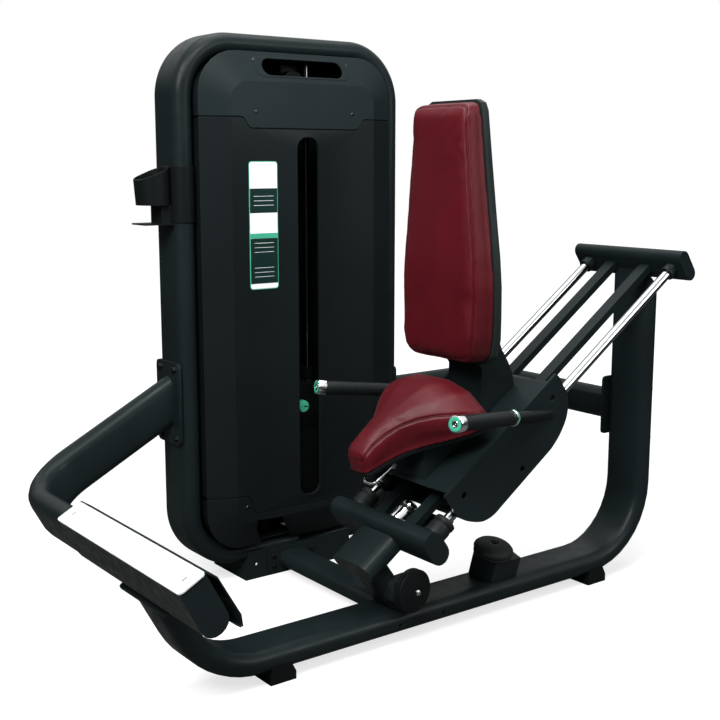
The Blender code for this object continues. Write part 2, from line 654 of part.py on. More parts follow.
def cover_loop(inset, y, rise=0.0, radius=0.0):
    """Loop inside the tower ring at one depth; its corners follow the ring unless told."""
    edge = TUBE_T + inset
    half = TOWER_W / 2 - edge
    outline = rounded(TOWER_X - half, TOWER_X + half, RING_LOW + edge, TOWER_TOP - edge + rise,
                      radius or TOWER_R - edge, RING_STEPS)
    return [Vector((x, y, z)) for x, z in outline]


def cover_solid(name, colour, shrink, back):
    """Pillow-shaped cover body: skirt, its edge over the ring, then a chamfer up to a flat face."""
    skirt = COVER_INSET + shrink
    edge = shrink - COVER_OUT
    rings = [cover_loop(skirt, TOWER_Y + back), cover_loop(skirt, TOWER_Y - 0.066),
             cover_loop(edge, TOWER_Y - COVER_EDGE + shrink * 0.8, COVER_TOP_RISE),
             cover_loop(edge + COVER_CHAMFER, TOWER_Y - COVER_FRONT + shrink, COVER_TOP_RISE, FACE_R)]
    return loft(name, colour, rings)


def seam_line(level, drop):
    """Seam across the tower from left to right, with a soft bend down to its middle part."""
    bend = [(-0.5, 0.0), (-0.22, 0.14), (0.22, 0.86), (0.5, 1.0)]
    left = [(TOWER_X - STEP_HALF + t * STEP_RUN, level - k * drop) for t, k in bend]
    right = [(TOWER_X + STEP_HALF - t * STEP_RUN, level - k * drop) for t, k in reversed(bend)]
    return [(TOWER_X - 0.5, level)] + left + right + [(TOWER_X + 0.5, level)]


def seam_block(low, low_drop, high, high_drop):
    """Cutter between two seams."""
    outline = seam_line(low, low_drop) + list(reversed(seam_line(high, high_drop)))
    return prism("cutter", "black", outline, Vector((0, TOWER_Y + 0.2, 0)), X_AXIS, Z_AXIS, 0.5)


def make_covers():
    """Front cover in three pieces with its hand slot and selector slot, and the rear panel."""
    spans = (("upper_cover", "cover", SEAM_Z, SEAM_DROP, TOWER_TOP + 0.1, 0.0),
             ("lower_panel", "panel", KICK_Z + 0.001, KICK_DROP, SEAM_Z - 0.002, SEAM_DROP),
             ("kick_panel", "panel", 0.0, 0.0, KICK_Z - 0.001, KICK_DROP))
    for name, colour, low, low_drop, high, high_drop in spans:
        shell = cover_solid(name, colour, 0.0, LIP_Y)
        lip = [cover_loop(GAP, TOWER_Y + LIP_Y), cover_loop(GAP, TOWER_Y + LIP_Y - COVER_WALL)]
        fuse(shell, loft("cutter", colour, lip), colour)
        boolean(shell, cover_solid("cutter", "black", COVER_WALL, 0.05))
        boolean(shell, seam_block(low, low_drop, high, high_drop), "INTERSECT")
        shell.data.materials.clear()
        shell.data.materials.append(material(colour))
    upper = bpy.data.objects["upper_cover"]
    cutter = prism("cutter", "black", oval(HAND_W, HAND_H, 6),
                   Vector((slot_x(), TOWER_Y, TOWER_TOP - HAND_DROP)), X_AXIS, Z_AXIS, 0.2)
    boolean(upper, cutter)
    lower = bpy.data.objects["lower_panel"]
    mid = slot_x()
    rim = []
    for grow, y in ((SLOT_RIM, COVER_FRONT - 0.001), (0.0, COVER_FRONT + SLOT_RISE)):
        outline = rounded(mid - SLOT_W / 2 - grow, mid + SLOT_W / 2 + grow, SLOT_LOW - grow,
                          SLOT_HIGH + grow, SLOT_W / 2 + grow - 0.004, 5)
        rim.append([Vector((x, TOWER_Y - y, z)) for x, z in outline])
    fuse(lower, loft("cutter", "panel", rim), "panel")
    slot = rounded(mid - SLOT_W / 2 + 0.002, mid + SLOT_W / 2 - 0.002, SLOT_LOW + 0.002,
                   SLOT_HIGH - 0.002, SLOT_W / 2 - 0.006, 5)
    boolean(lower, prism("cutter", "black", slot, Vector((0, TOWER_Y, 0)), X_AXIS, Z_AXIS, 0.2))
    gate = [(-0.169, 0.186), (-0.167, 0.160), (-0.135, 0.100), (-0.034, 0.100), (-0.068, 0.150),
            (-0.088, 0.1815)]
    boolean(bpy.data.objects["kick_panel"],
            prism("cutter", "black", gate, Vector((TOWER_X, TOWER_Y - 0.070, 0)), X_AXIS, Z_AXIS, 0.1))
    band = TOWER_X - TOWER_W / 2 + TUBE_T
    lip = TOWER_Y + LIP_Y
    boolean(lower, box("cutter", "black", band - 0.01, band + CLAMP_WALL + GAP, lip - COVER_WALL - 0.01,
                       lip + 0.01, CLAMP_Z - GAP, CLAMP_Z + CLAMP_H + GAP))
    back = TOWER_Y + TRAY_Y
    tray = loft("rear_panel", "panel", [cover_loop(GAP, back), cover_loop(GAP, back - TRAY_DEPTH)])
    inner = GAP + COVER_WALL
    hollow = [cover_loop(inner, back - COVER_WALL), cover_loop(inner, back - TRAY_DEPTH - 0.01)]
    boolean(tray, loft("cutter", "black", hollow))


def slot_x():
    """Middle of the selector slot and the hand slot, a little right of the tower's own middle."""
    return TOWER_X + 0.0035


def stack_low():
    """Underside of the lowest weight plate."""
    return RING_LOW + TUBE_T + STACK_FLOOR


def head_bottom():
    """Underside of the head plate at rest."""
    return stack_low() + PLATE_COUNT * PLATE_PITCH


def bore_plate(target, low):
    """Drill the two guide holes through a plate of the stack."""
    for x in (-STACK_ROD_X, STACK_ROD_X):
        drill(target, Vector((TOWER_X + x, TOWER_Y, low - 0.01)), Z_AXIS, STACK_ROD_R + 0.001, 0.12, 8)


def make_stack():
    """Weight plates, head plate, selector rod and pin, and the two guide rods."""
    y0 = TOWER_Y - STACK_Y / 2
    x0 = TOWER_X - STACK_X / 2
    low = stack_low()
    for i in range(PLATE_COUNT):
        z0 = low + i * PLATE_PITCH
        slab = box("weight_plate_%d" % (i + 1), "black", x0, x0 + STACK_X, y0, y0 + STACK_Y, z0,
                   z0 + PLATE_PITCH - 0.0012)
        bore_plate(slab, z0)
        drill(slab, Vector((TOWER_X, TOWER_Y, z0 - 0.01)), Z_AXIS, 0.0125, 0.07, 8)
        pin_z = z0 + PLATE_PITCH / 2
        groove = rod("cutter", "black", Vector((TOWER_X, y0 - 0.01, pin_z)),
                     Vector((TOWER_X, TOWER_Y + 0.03, pin_z)), 0.0055, 8)
        boolean(slab, groove)
    head_z = head_bottom()
    head = box("head_plate", "black", x0, x0 + STACK_X, y0, y0 + STACK_Y, head_z, head_z + 0.026)
    for x in (-STACK_ROD_X, STACK_ROD_X):
        bush = [(0, 0), (BUSH_R + 0.003, 0), (BUSH_R, 0.004), (BUSH_R, BUSH_H + 0.001), (0, BUSH_H + 0.001)]
        spot = Vector((TOWER_X + x, TOWER_Y, head_z + 0.025))
        fuse(head, lathe("cutter", "black", bush, spot, Z_AXIS, 14), "black")
    bore_plate(head, head_z)
    stem_top = head_z + 0.0165 - low
    stem = lathe("selector_rod", "chrome", [(0, 0.004), (0.011, 0.004), (0.011, stem_top), (0, stem_top)],
                 Vector((TOWER_X, TOWER_Y, low)), Z_AXIS, 14)
    pin_z = head_z - PLATE_PITCH / 2
    hole = rod("cutter", "black", Vector((TOWER_X, TOWER_Y - 0.04, pin_z)),
               Vector((TOWER_X, TOWER_Y + 0.04, pin_z)), 0.0053, 12)
    boolean(stem, hole)
    pocket = lathe("cutter", "black", [(0, 0), (0.0113, 0), (0.0113, 0.0173), (0, 0.0173)],
                   Vector((TOWER_X, TOWER_Y, head_z - GAP)), Z_AXIS, 14)
    boolean(head, pocket)
    knob_y = TOWER_Y - 0.079
    profile = [(0, 0), (0.014, 0), (0.017, 0.003), (0.017, 0.018), (0.013, 0.022), (0.0045, 0.022)]
    reach = TOWER_Y + 0.026 - knob_y
    profile += [(0.0045, reach), (0, reach)]
    lathe("selector_pin", "mint", profile, Vector((TOWER_X, knob_y - 0.022, pin_z)), Y_AXIS, 18)
    foot = low - STACK_FLOOR + GAP
    stop = STACK_FLOOR - 2 * GAP
    low_end = COVER_INSET + COVER_WALL + 0.003
    profile = [(0, 0), (STACK_ROD_R, 0), (STACK_ROD_R, low_end), (STACK_STOP_R, low_end),
               (STACK_STOP_R, stop), (STACK_ROD_R, stop),
               (STACK_ROD_R, ring_inner_top() - GAP - foot), (0, ring_inner_top() - GAP - foot)]
    for tag, x in (("left", -STACK_ROD_X), ("right", STACK_ROD_X)):
        lathe("stack_rod_" + tag, "chrome", profile, Vector((TOWER_X + x, TOWER_Y, foot)), Z_AXIS, 14)


def make_cup_holder():
    """Clamp band round the tower's left leg, with an open cup on a stem over a thin tray."""
    side = TOWER_X - TOWER_W / 2
    y1 = TOWER_Y + 0.030
    z0 = CLAMP_Z
    wall = CLAMP_WALL
    r = TUBE_T / 2
    yc = TOWER_Y - TUBE_W / 2 + r
    outline = []
    for i in range(OVAL_STEPS + 1):
        a = math.pi + math.pi * i / OVAL_STEPS
        outline.append((side + r + (r + wall) * math.cos(a), yc + (r + wall) * math.sin(a)))
    outline += [(side + 2 * r + wall, y1), (side + 2 * r + GAP, y1)]
    for i in range(OVAL_STEPS + 1):
        a = 2 * math.pi - math.pi * i / OVAL_STEPS
        outline.append((side + r + (r + GAP) * math.cos(a), yc + (r + GAP) * math.sin(a)))
    outline += [(side - GAP, y1), (side - wall, y1)]
    prism("cup_clamp", "charcoal", outline, Vector((0, 0, z0)), X_AXIS, Y_AXIS, CLAMP_H)
    cup = cup_solid("cup_holder", "charcoal", 0.0, 1.0555)
    boolean(cup, cup_solid("cutter", "black", 0.003, 1.0585))
    rim = prism("cutter", "black", [(-0.3, 0.0), (0.3, 0.0), (0.3, 0.2), (-0.3, 0.2)],
                Vector((side - 0.045, TOWER_Y + 0.2, 1.138)), Vector((0.928, 0, 0.371)),
                Vector((-0.371, 0, 0.928)), 0.4)
    boolean(cup, rim)
    stem = box("cutter", "charcoal", side - 0.034, side - 0.0046, TOWER_Y - 0.040, TOWER_Y + 0.020,
               z0 - 0.002, 1.057)
    fuse(cup, stem, "charcoal")
    tray = box("cutter", "charcoal", side - 0.085, side - 0.0046, TOWER_Y - 0.050, TOWER_Y + 0.030,
               z0 - 0.005, z0 - 0.001)
    fuse(cup, tray, "charcoal")


def cup_solid(name, colour, shrink, low):
    """Rounded cup body that widens upwards; the shrink gives its inside."""
    side = TOWER_X - TOWER_W / 2 - 0.0046
    rings = []
    for z, spread in ((low, 0.0), (1.190, 0.011)):
        outline = rounded(side - 0.080 - spread + shrink, side - shrink, TOWER_Y - 0.056 + shrink,
                          TOWER_Y + 0.030 - shrink, 0.034 - shrink)
        rings.append([Vector((x, y, z)) for x, y in outline])
    return loft(name, colour, rings)


def make_carriage():
    """Sliding carriage: side plates, deck and bearing tubes."""
    s0, s1, h0, h1 = CARRIAGE_S0, CARRIAGE_S1, CARRIAGE_H0, CARRIAGE_H1
    outline = [(s0, h1 - 0.004), (s0 + 0.003, ROD_H + 0.004)]
    for s, h in ((0.172, 0.272), (0.205, 0.236), (0.240, 0.222), (0.275, h0)):
        outline.append((s, h))
    for s, h in ((s1 - 0.120, h0 + 0.001), (s1 - 0.080, h0 + 0.010), (s1 - 0.040, h0 + 0.029),
                 (s1 - 0.014, h0 + 0.055), (s1, h0 + 0.084), (s1, h1 - 0.012), (s1 - 0.004, h1)):
        outline.append((s, h))
    outline.append((s0 + 0.004, h1))
    holes = ((0.553, 0.329), (0.377, 0.249), (0.201, 0.331))
    for tag, y in (("near", -CARRIAGE_Y + CARRIAGE_T), ("far", CARRIAGE_Y)):
        side = prism("carriage_plate_" + tag, "charcoal", outline, Y_AXIS * y, SLOPE, SLOPE_UP, CARRIAGE_T)
        belly = [(0.172, 0.272), (0.205, 0.236), (0.240, 0.222), (0.275, h0), (s1 - 0.120, h0 + 0.001),
                 (s1 - 0.120, h0 + 0.004), (0.275, h0 + 0.003), (0.2410, 0.2250), (0.2070, 0.2384),
                 (0.1745, 0.2740)]
        reach = CARRIAGE_Y - CARRIAGE_T / 2
        outer = Y_AXIS * (reach if y > 0 else -GAP / 2)
        fuse(side, prism("cutter", "charcoal", belly, outer, SLOPE, SLOPE_UP, reach - GAP / 2), "charcoal")
        for s, h in holes:
            drill(side, slope_point(s, h, y + 0.01), -Y_AXIS, 0.0085, 0.03, 14)
    for tag, y in (("near", -ROD_Y), ("far", ROD_Y)):
        bore = ROD_R + 0.0004
        edge = CARRIAGE_Y - CARRIAGE_T - ROD_Y - GAP
        profile = [(bore, 0), (edge - 0.002, 0), (edge, 0.002), (edge, 0.398), (edge - 0.002, 0.400),
                   (bore, 0.400)]
        lathe("bearing_tube_" + tag, "black", profile, slope_point(0.176, ROD_H, y), SLOPE, 16)
    y1 = CARRIAGE_Y - CARRIAGE_T - GAP
    deck = [(s0 + 0.020, h1 - 0.012), (s1 - 0.030, h1 - 0.012), (s1 - 0.008, h1 - 0.030),
            (s1 - 0.012, h1 - 0.033), (s1 - 0.032, h1 - 0.016), (s0 + 0.020, h1 - 0.016)]
    prism("carriage_deck", "charcoal", deck, Y_AXIS * y1, SLOPE, SLOPE_UP, 2 * y1)


def deck_top():
    """Upper face of the carriage deck plus the clearance, square to the slope."""
    return CARRIAGE_H1 - 0.012 + GAP


def seat_frame():
    """Origin under the seat's nose, with the pad's own forward and upward directions."""
    tilt = math.radians(SEAT_TILT)
    along = Vector((math.cos(tilt), 0, math.sin(tilt)))
    up = Vector((-math.sin(tilt), 0, math.cos(tilt)))
    return Vector((SEAT_X, 0, SEAT_Z)), along, up


def make_seat():
    """Saddle-shaped seat pad on its board, and the bracket that carries it."""
    origin, along, up = seat_frame()
    stations = [(0.000, 0.028, 0.026, 0.034), (0.004, 0.038, 0.040, 0.048), (0.014, 0.042, 0.048, 0.057),
                (0.045, 0.043, 0.058, 0.067), (0.085, 0.049, 0.066, 0.077), (0.120, 0.060, 0.070, 0.083),
                (0.155, 0.080, 0.072, 0.089), (0.190, 0.108, 0.068, 0.093), (0.225, 0.138, 0.060, 0.095),
                (0.260, 0.160, 0.050, 0.094), (0.290, 0.167, 0.040, 0.088), (0.312, 0.158, 0.030, 0.076),
                (0.326, 0.140, 0.020, 0.056), (0.332, 0.122, 0.012, 0.036)]
    rings = []
    for d, w, side, crown in stations:
        shape = ((-1.0, 0.0), (1.0, 0.0), (1.0, side * 0.80), (0.94, side),
                 (0.72, side + (crown - side) * 0.55),
                 (0.30, crown), (-0.30, crown), (-0.72, side + (crown - side) * 0.55), (-0.94, side),
                 (-1.0, side * 0.80))
        rings.append([origin + along * d + Y_AXIS * (a * w) + up * b for a, b in shape])
    loft("seat_pad", "maroon", rings)
    board = [(d + 0.002, -w + 0.003) for d, w, side, crown in stations[1:-2]]
    board += [(d, -y) for d, y in reversed(board)]
    prism("seat_board", "black", board, origin - up * 0.0103, along, Y_AXIS, 0.010)
    body = [(-0.045, 0.350), (0.108, 0.350), (0.108, 0.700), (-0.085, 0.700)]
    bracket = prism("seat_bracket", "charcoal", body, Y_AXIS * 0.060, X_AXIS, Z_AXIS, 0.120)
    tongue = box("cutter", "charcoal", -0.142, 0.020, -0.012, 0.012, 0.425, 0.600)
    fuse(bracket, tongue, "charcoal")
    lid = prism("cutter", "black", [(-0.5, -0.0106), (0.9, -0.0106), (0.9, 0.5), (-0.5, 0.5)],
                origin + Y_AXIS * 0.3, along, up, 0.6)
    boolean(bracket, lid)
    under = prism("cutter", "black", [(-0.5, -0.3), (1.2, -0.3), (1.2, 0.0), (-0.5, 0.0)],
                  slope_point(0, deck_top(), 0.3), SLOPE, SLOPE_UP, 0.6)
    boolean(bracket, under)
    pivot = lever_pivot()
    drill(bracket, pivot + Y_AXIS * 0.03, -Y_AXIS, 0.0048, 0.06, 12)


def lever_pivot():
    """Hinge axis of the release lever, in the tongue under the seat's nose."""
    return Vector((-0.122, 0, 0.443))


def make_lever():
    """Release lever: a bent round bar closed by the axle it turns on."""
    pivot = lever_pivot()
    front = Vector((-0.182, 0, 0.406))
    half = 0.021
    corners = [pivot - Y_AXIS * half, front - Y_AXIS * half, front + Y_AXIS * half,
               pivot + Y_AXIS * half]
    normal = (front - pivot).cross(Y_AXIS).normalized()
    section = [(0.0045 * math.cos(2 * math.pi * k / 10), 0.0045 * math.sin(2 * math.pi * k / 10))
               for k in range(10)]
    bar = sweep("cutter_bar", "chrome", corners, 0.012, normal, section, steps=4)
    axle = lathe("release_lever", "chrome", [(0, 0), (0.0042, 0), (0.0042, 0.052), (0, 0.052)],
                 pivot - Y_AXIS * 0.026, Y_AXIS, 12)
    fuse(axle, bar, "chrome")
    axle.data.transform(Matrix.Translation(-pivot))
    axle.location = pivot


def back_edge(z):
    """Rear face of the back shell at a height."""
    along = (z - BACK_LOW) / (BACK_HIGH - BACK_LOW)
    return BACK_FACE + 0.095 - 0.025 * along


def pad_depth(z):
    """Thickness of the back pad at a height."""
    along = (z - BACK_LOW) / (BACK_HIGH - BACK_LOW)
    return 0.069 - 0.021 * along


def make_back():
    """Back pad, the shell behind it and the post that carries both."""
    stations = [(BACK_LOW, 0.082, 0.62), (BACK_LOW + 0.004, 0.104, 0.80), (0.712, 0.126, 0.96),
                (0.745, 0.136, 1.0), (0.800, 0.141, 1.0), (0.870, 0.143, 1.0), (0.940, 0.139, 1.0),
                (1.044, 0.127, 1.0), (1.180, 0.113, 1.0), (1.285, 0.103, 1.0), (1.304, 0.096, 0.90),
                (BACK_HIGH, 0.080, 0.62)]
    rings = []
    shell = []
    for z, w, full in stations:
        rear = BACK_FACE + pad_depth(z)
        thick = pad_depth(z) * full
        shape = ((-1.0, 0.0), (1.0, 0.0), (1.0, 0.78), (0.965, 0.93), (0.86, 1.0), (-0.86, 1.0),
                 (-0.965, 0.93), (-1.0, 0.78))
        rings.append([Vector((rear - thick * b, a * w, z)) for a, b in shape])
        edge = back_edge(z)
        deep = (edge - rear - GAP) * (full * 0.5 + 0.5)
        cross = ((-0.97, 0.0), (0.97, 0.0), (0.97, 0.5), (0.86, 1.0), (-0.86, 1.0), (-0.97, 0.5))
        shell.append([Vector((rear + GAP + deep * b, a * w, z)) for a, b in cross])
    loft("back_pad", "maroon", rings)
    loft("back_shell", "black", shell)
    post = [(0.125, 0.480), (0.245, 0.480), (0.240, 0.600), (0.232, 0.637), (0.217, 0.667),
            (0.195, 0.700), (0.176, 0.740), (0.165, 0.800), (0.150, 0.980), (0.100, 0.990),
            (0.100, BACK_LOW + 0.002), (0.125, BACK_LOW - 0.030)]
    holder = prism("back_post", "charcoal", post, Y_AXIS * 0.062, X_AXIS, Z_AXIS, 0.124)
    under = prism("cutter", "black", [(-0.5, -0.3), (1.2, -0.3), (1.2, 0.0), (-0.5, 0.0)],
                  slope_point(0, deck_top(), 0.3), SLOPE, SLOPE_UP, 0.6)
    boolean(holder, under)
    wall = [(-0.2, BACK_LOW - 0.020), (back_edge(BACK_LOW) + GAP, BACK_LOW - 0.020),
            (back_edge(BACK_LOW) + GAP, BACK_LOW), (back_edge(1.1) + GAP, 1.1), (-0.2, 1.1)]
    boolean(holder, prism("cutter", "black", wall, Y_AXIS * 0.2, X_AXIS, Z_AXIS, 0.4))


def make_handles():
    """Straight splayed hand bars with rubber sleeves and chrome ends."""
    for tag, sign in (("near", -1), ("far", 1)):
        root = slope_point(0.503, 0.318, sign * (CARRIAGE_Y + GAP))
        tip = Vector((-0.146, sign * 0.269, 0.594))
        way = (tip - root).normalized()
        length = (tip - root).length
        bar = rod("hand_bar_" + tag, "charcoal", root - way * 0.03, root + way * (length - 0.012), 0.0115, 16)
        end = length - GRIP_END_H
        r = GRIP_END_R
        cap = [(0, 0), (r - 0.001, 0), (r, 0.001), (r, GRIP_END_H - 0.003), (r - 0.003, GRIP_END_H),
               (0, GRIP_END_H)]
        fuse(bar, lathe("cutter", "charcoal", cap, root + way * end, way, 16), "charcoal")
        start = end - GAP - GRIP_LENGTH
        ring = [(0, 0), (r - 0.001, 0), (r, 0.001), (r, 0.0085), (r - 0.001, 0.0095), (0, 0.0095)]
        fuse(bar, lathe("cutter", "charcoal", ring, root + way * (start - GAP - 0.0095), way, 16), "charcoal")
        trim = box("cutter", "black", -0.5, 0.8, -CARRIAGE_Y - GAP, CARRIAGE_Y + GAP, 0.2, 1.0)
        boolean(bar, trim)
        bore = 0.0115 + GAP
        long = GRIP_LENGTH
        sleeve = [(bore, 0), (0.0155, 0), (0.0175, 0.004), (0.0175, long - 0.004), (0.0155, long),
                  (bore, long)]
        lathe("grip_" + tag, "rubber", sleeve, root + way * start, way, 18)


def centre_all():
    """Move everything so that the footprint is centred and the floor is at zero."""
    bpy.context.view_layer.update()
    low = np.full(3, 1e9)
    high = -low
    for obj in bpy.data.objects:
        pts = np.array([obj.matrix_world @ v.co for v in obj.data.vertices])
        low = np.minimum(low, pts.min(axis=0))
        high = np.maximum(high, pts.max(axis=0))
    mid = (low + high) / 2
    move = Vector((-mid[0], -mid[1], -low[2]))
    for obj in bpy.data.objects:
        if obj.location.length > 0:
            obj.location = obj.location + move
        else:
            obj.data.transform(Matrix.Translation(move))
    bpy.context.view_layer.update()


def main():
    clear_scene()
    make_base()
    make_platform()
    make_crossbars()
    make_supports()
    make_sheaves()
    make_tower_frame()
    make_brace()
    make_covers()
    make_stack()
    make_cup_holder()
    make_carriage()
    make_seat()
    make_lever()
    make_back()
    make_handles()
    centre_all()


main()
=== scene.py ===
"""Looks of a seated calf raise machine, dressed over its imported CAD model.

The machine has a bent base tube with a foot platform, a weight tower at its far side and a seat
carriage on inclined guide rods.  Sizes are in metres, in the frame of the CAD model.
"""

import json
import logging
import math
from dataclasses import dataclass
from enum import Enum
from typing import Callable, Sequence

import bmesh
import bpy
import numpy as np
from mathutils import Matrix, Vector
from mathutils.bvhtree import BVHTree
from mathutils.kdtree import KDTree

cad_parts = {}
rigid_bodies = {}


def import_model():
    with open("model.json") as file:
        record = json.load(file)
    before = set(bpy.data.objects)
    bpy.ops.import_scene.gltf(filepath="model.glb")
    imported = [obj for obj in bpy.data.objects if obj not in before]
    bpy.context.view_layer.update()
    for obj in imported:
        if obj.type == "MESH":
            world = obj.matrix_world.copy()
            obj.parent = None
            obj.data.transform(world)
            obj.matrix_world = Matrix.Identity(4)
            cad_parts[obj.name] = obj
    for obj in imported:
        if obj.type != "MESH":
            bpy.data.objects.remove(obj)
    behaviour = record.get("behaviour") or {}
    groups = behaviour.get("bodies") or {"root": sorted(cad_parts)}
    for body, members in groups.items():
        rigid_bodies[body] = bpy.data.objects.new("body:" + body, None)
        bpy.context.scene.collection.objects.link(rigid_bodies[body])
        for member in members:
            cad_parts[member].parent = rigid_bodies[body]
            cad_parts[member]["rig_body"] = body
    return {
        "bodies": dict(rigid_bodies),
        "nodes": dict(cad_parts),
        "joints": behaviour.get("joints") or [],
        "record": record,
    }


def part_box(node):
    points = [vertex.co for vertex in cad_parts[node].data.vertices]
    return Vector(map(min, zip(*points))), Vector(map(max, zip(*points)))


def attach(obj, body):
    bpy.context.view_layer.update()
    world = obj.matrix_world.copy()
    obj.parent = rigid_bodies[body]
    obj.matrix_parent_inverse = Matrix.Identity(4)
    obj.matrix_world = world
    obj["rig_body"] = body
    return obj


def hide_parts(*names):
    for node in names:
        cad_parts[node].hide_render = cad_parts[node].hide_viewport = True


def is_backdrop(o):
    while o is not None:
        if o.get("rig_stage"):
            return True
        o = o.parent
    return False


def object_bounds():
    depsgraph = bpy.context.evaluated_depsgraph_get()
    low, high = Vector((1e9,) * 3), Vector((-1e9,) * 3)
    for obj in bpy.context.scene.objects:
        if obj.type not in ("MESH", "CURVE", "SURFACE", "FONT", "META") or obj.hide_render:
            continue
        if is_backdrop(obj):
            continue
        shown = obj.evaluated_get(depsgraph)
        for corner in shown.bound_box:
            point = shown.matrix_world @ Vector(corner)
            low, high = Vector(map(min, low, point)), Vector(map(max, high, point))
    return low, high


Obj = bpy.types.Object
Socket = bpy.types.NodeSocket
Tree = bpy.types.GeometryNodeTree
Pair = tuple[float, float]
Spot = tuple[Vector, Vector]    # a point and the way that it faces

LOG = logging.getLogger("calf_raise")
ZERO = Vector((0, 0, 0))
X_AXIS, Y_AXIS, Z_AXIS = Vector((1, 0, 0)), Vector((0, 1, 0)), Vector((0, 0, 1))
SIDES = (("near", -1.0), ("far", 1.0))
CREASE_ANGLE = 34.0    # edges above this angle stay sharp
TURNED_ANGLE = 30.0    # the same for turned pieces
TOWER_X, TOWER_Y = -0.019, 0.6124    # the tower's middle
ROD_SIDE = 0.145       # guide rods from the middle
ROD_HEIGHT = 0.298     # guide rods above the origin, square to the slope


def tilted(degrees: float) -> tuple[Vector, Vector]:
    """The ways along and square to a slope that rises towards +X."""
    turn = math.radians(degrees)
    return Vector((math.cos(turn), 0, math.sin(turn))), Vector((-math.sin(turn), 0, math.cos(turn)))


SLOPE, SLOPE_UP = tilted(35)
ARM_DIR, ARM_UP = tilted(28)


class Body(Enum):
    """Rigid bodies that pieces ride on."""

    FRAME = "frame"
    CARRIAGE = "carriage"
    STACK = "stack"
    PIN = "pin"
    BASE_PULLEY = "base_pulley"
    TOP_PULLEY = "top_pulley"
    LEVER = "lever"


class Slot(Enum):
    """Material slots of the record."""

    PAINT = "frame_paint"
    PANEL = "panel"
    COVER = "cover"
    CHROME = "chrome"
    PLATE_WHITE = "plate_white"
    LEATHER = "leather"
    RUBBER = "rubber"
    MINT = "mint"
    IRON = "iron"
    BLACK = "black_plastic"


class NodeBench:
    """Lays out nodes in one tree."""

    def __init__(self, tree: bpy.types.NodeTree) -> None:
        """Work on a tree."""
        self.tree = tree

    def fill(self, node: bpy.types.Node, inputs: dict[int | str, object]) -> bpy.types.Node:
        """Set a node's inputs, or link them where the value is a socket or another node."""
        for key, value in inputs.items():
            socket = node.inputs[key if isinstance(key, int) else key.replace("_", " ")]
            if isinstance(value, bpy.types.Node):
                value = value.outputs[0]
            if isinstance(value, Socket):
                self.tree.links.new(value, socket)
            else:
                socket.default_value = value
        return node

    def node(self, kind: str, *ordered: object, **named: object) -> bpy.types.Node:
        """Add a node.

        Args:
            kind: Blender's node type.
            ordered: Values, sockets or nodes for its first inputs.
            named: The same by input name with underscores for spaces; a name in lower case is
                one of the node's own settings.

        Returns:
            The new node.
        """
        made = self.tree.nodes.new(kind)
        for key in [key for key in named if key[0].islower()]:
            setattr(made, key, named.pop(key))
        return self.fill(made, {**dict(enumerate(ordered)), **named})


class ShaderBench(NodeBench):
    """Lays out the nodes of one material around its Principled shader."""

    def __init__(self, title: str) -> None:
        """Start an empty material of that name."""
        self.material = bpy.data.materials.new(title)
        self.material.use_nodes = True
        super().__init__(self.material.node_tree)
        self.shader = self.tree.nodes["Principled BSDF"]
        self.coords = self.node("ShaderNodeTexCoord").outputs["Object"]

    def noise(self, scale: float, detail: float = 3.0, stretch: Sequence[float] = (1, 1, 1)) -> Socket:
        """Soft noise in object space, in waves per metre, stretched along the axes."""
        placed = self.node("ShaderNodeMapping", Vector=self.coords, Scale=tuple(stretch))
        return self.node("ShaderNodeTexNoise", Vector=placed, Scale=scale, Detail=detail).outputs["Fac"]

    def cells(self, scale: float) -> Socket:
        """Distance to the edges of irregular cells, as on leather."""
        return self.node("ShaderNodeTexVoronoi", Vector=self.coords, Scale=scale,
                         feature="DISTANCE_TO_EDGE").outputs["Distance"]

    def span(self, factor: Socket, low: float, high: float, start: float = 0.35,
             end: float = 0.65) -> Socket:
        """Map a factor between start and end to the numbers from low to high."""
        return self.node("ShaderNodeMapRange", factor, start, end, low, high).outputs[0]

    def tint(self, factor: Socket, dark: Sequence[float], light: Sequence[float]) -> Socket:
        """Colour between two tones by a factor."""
        ramp = self.node("ShaderNodeValToRGB", factor)
        for stop, place, tone in zip(ramp.color_ramp.elements, (0.32, 0.68), (dark, light)):
            stop.position = place
            stop.color = (*tone, 1)
        return ramp.outputs[0]

    def bump(self, height: Socket, strength: float, depth: float, **under: Socket) -> Socket:
        """Bump from a height, over another bump where one is given as Normal."""
        return self.node("ShaderNodeBump", Height=height, Strength=strength, Distance=depth,
                         **under).outputs[0]

    def end(self, shader: bpy.types.Node) -> None:
        """Use a shader as the material's surface."""
        self.fill(self.tree.nodes["Material Output"], {"Surface": shader})


@dataclass(frozen=True)
class Finish:
    """One surface finish; a subclass paints its own pattern."""

    title: str
    slot: Slot
    colour: tuple[float, float, float]
    roughness: float = 0.45

    def coat(self, bench: ShaderBench, tone: Socket, tones: Pair, polish: Socket, spread: Pair,
             normal: Socket, **more: object) -> None:
        """Feed the shader.

        Args:
            bench: The material's bench.
            tone: Factor that varies the colour.
            tones: How much darker and lighter it gets.
            polish: Factor that varies the roughness.
            spread: What it adds to the roughness at both ends.
            normal: Bump of the surface.
            more: Further inputs of the shader.
        """
        dark, light = (tuple(min(1.0, c * factor) for c in self.colour) for factor in tones)
        rough = bench.span(polish, self.roughness + spread[0], self.roughness + spread[1])
        bench.fill(bench.shader, {"Base_Color": bench.tint(tone, dark, light), "Roughness": rough,
                                  "Normal": normal, **more})

    def paint(self, bench: ShaderBench) -> None:
        """Lay the finish out on a bench."""
        raise NotImplementedError

    def material(self) -> bpy.types.Material:
        """The finish as a Blender material, made once."""
        found = bpy.data.materials.get(self.title)
        if found:
            return found
        bench = ShaderBench(self.title)
        self.paint(bench)
        bench.material.diffuse_color = (*self.colour, 1)
        return bench.material


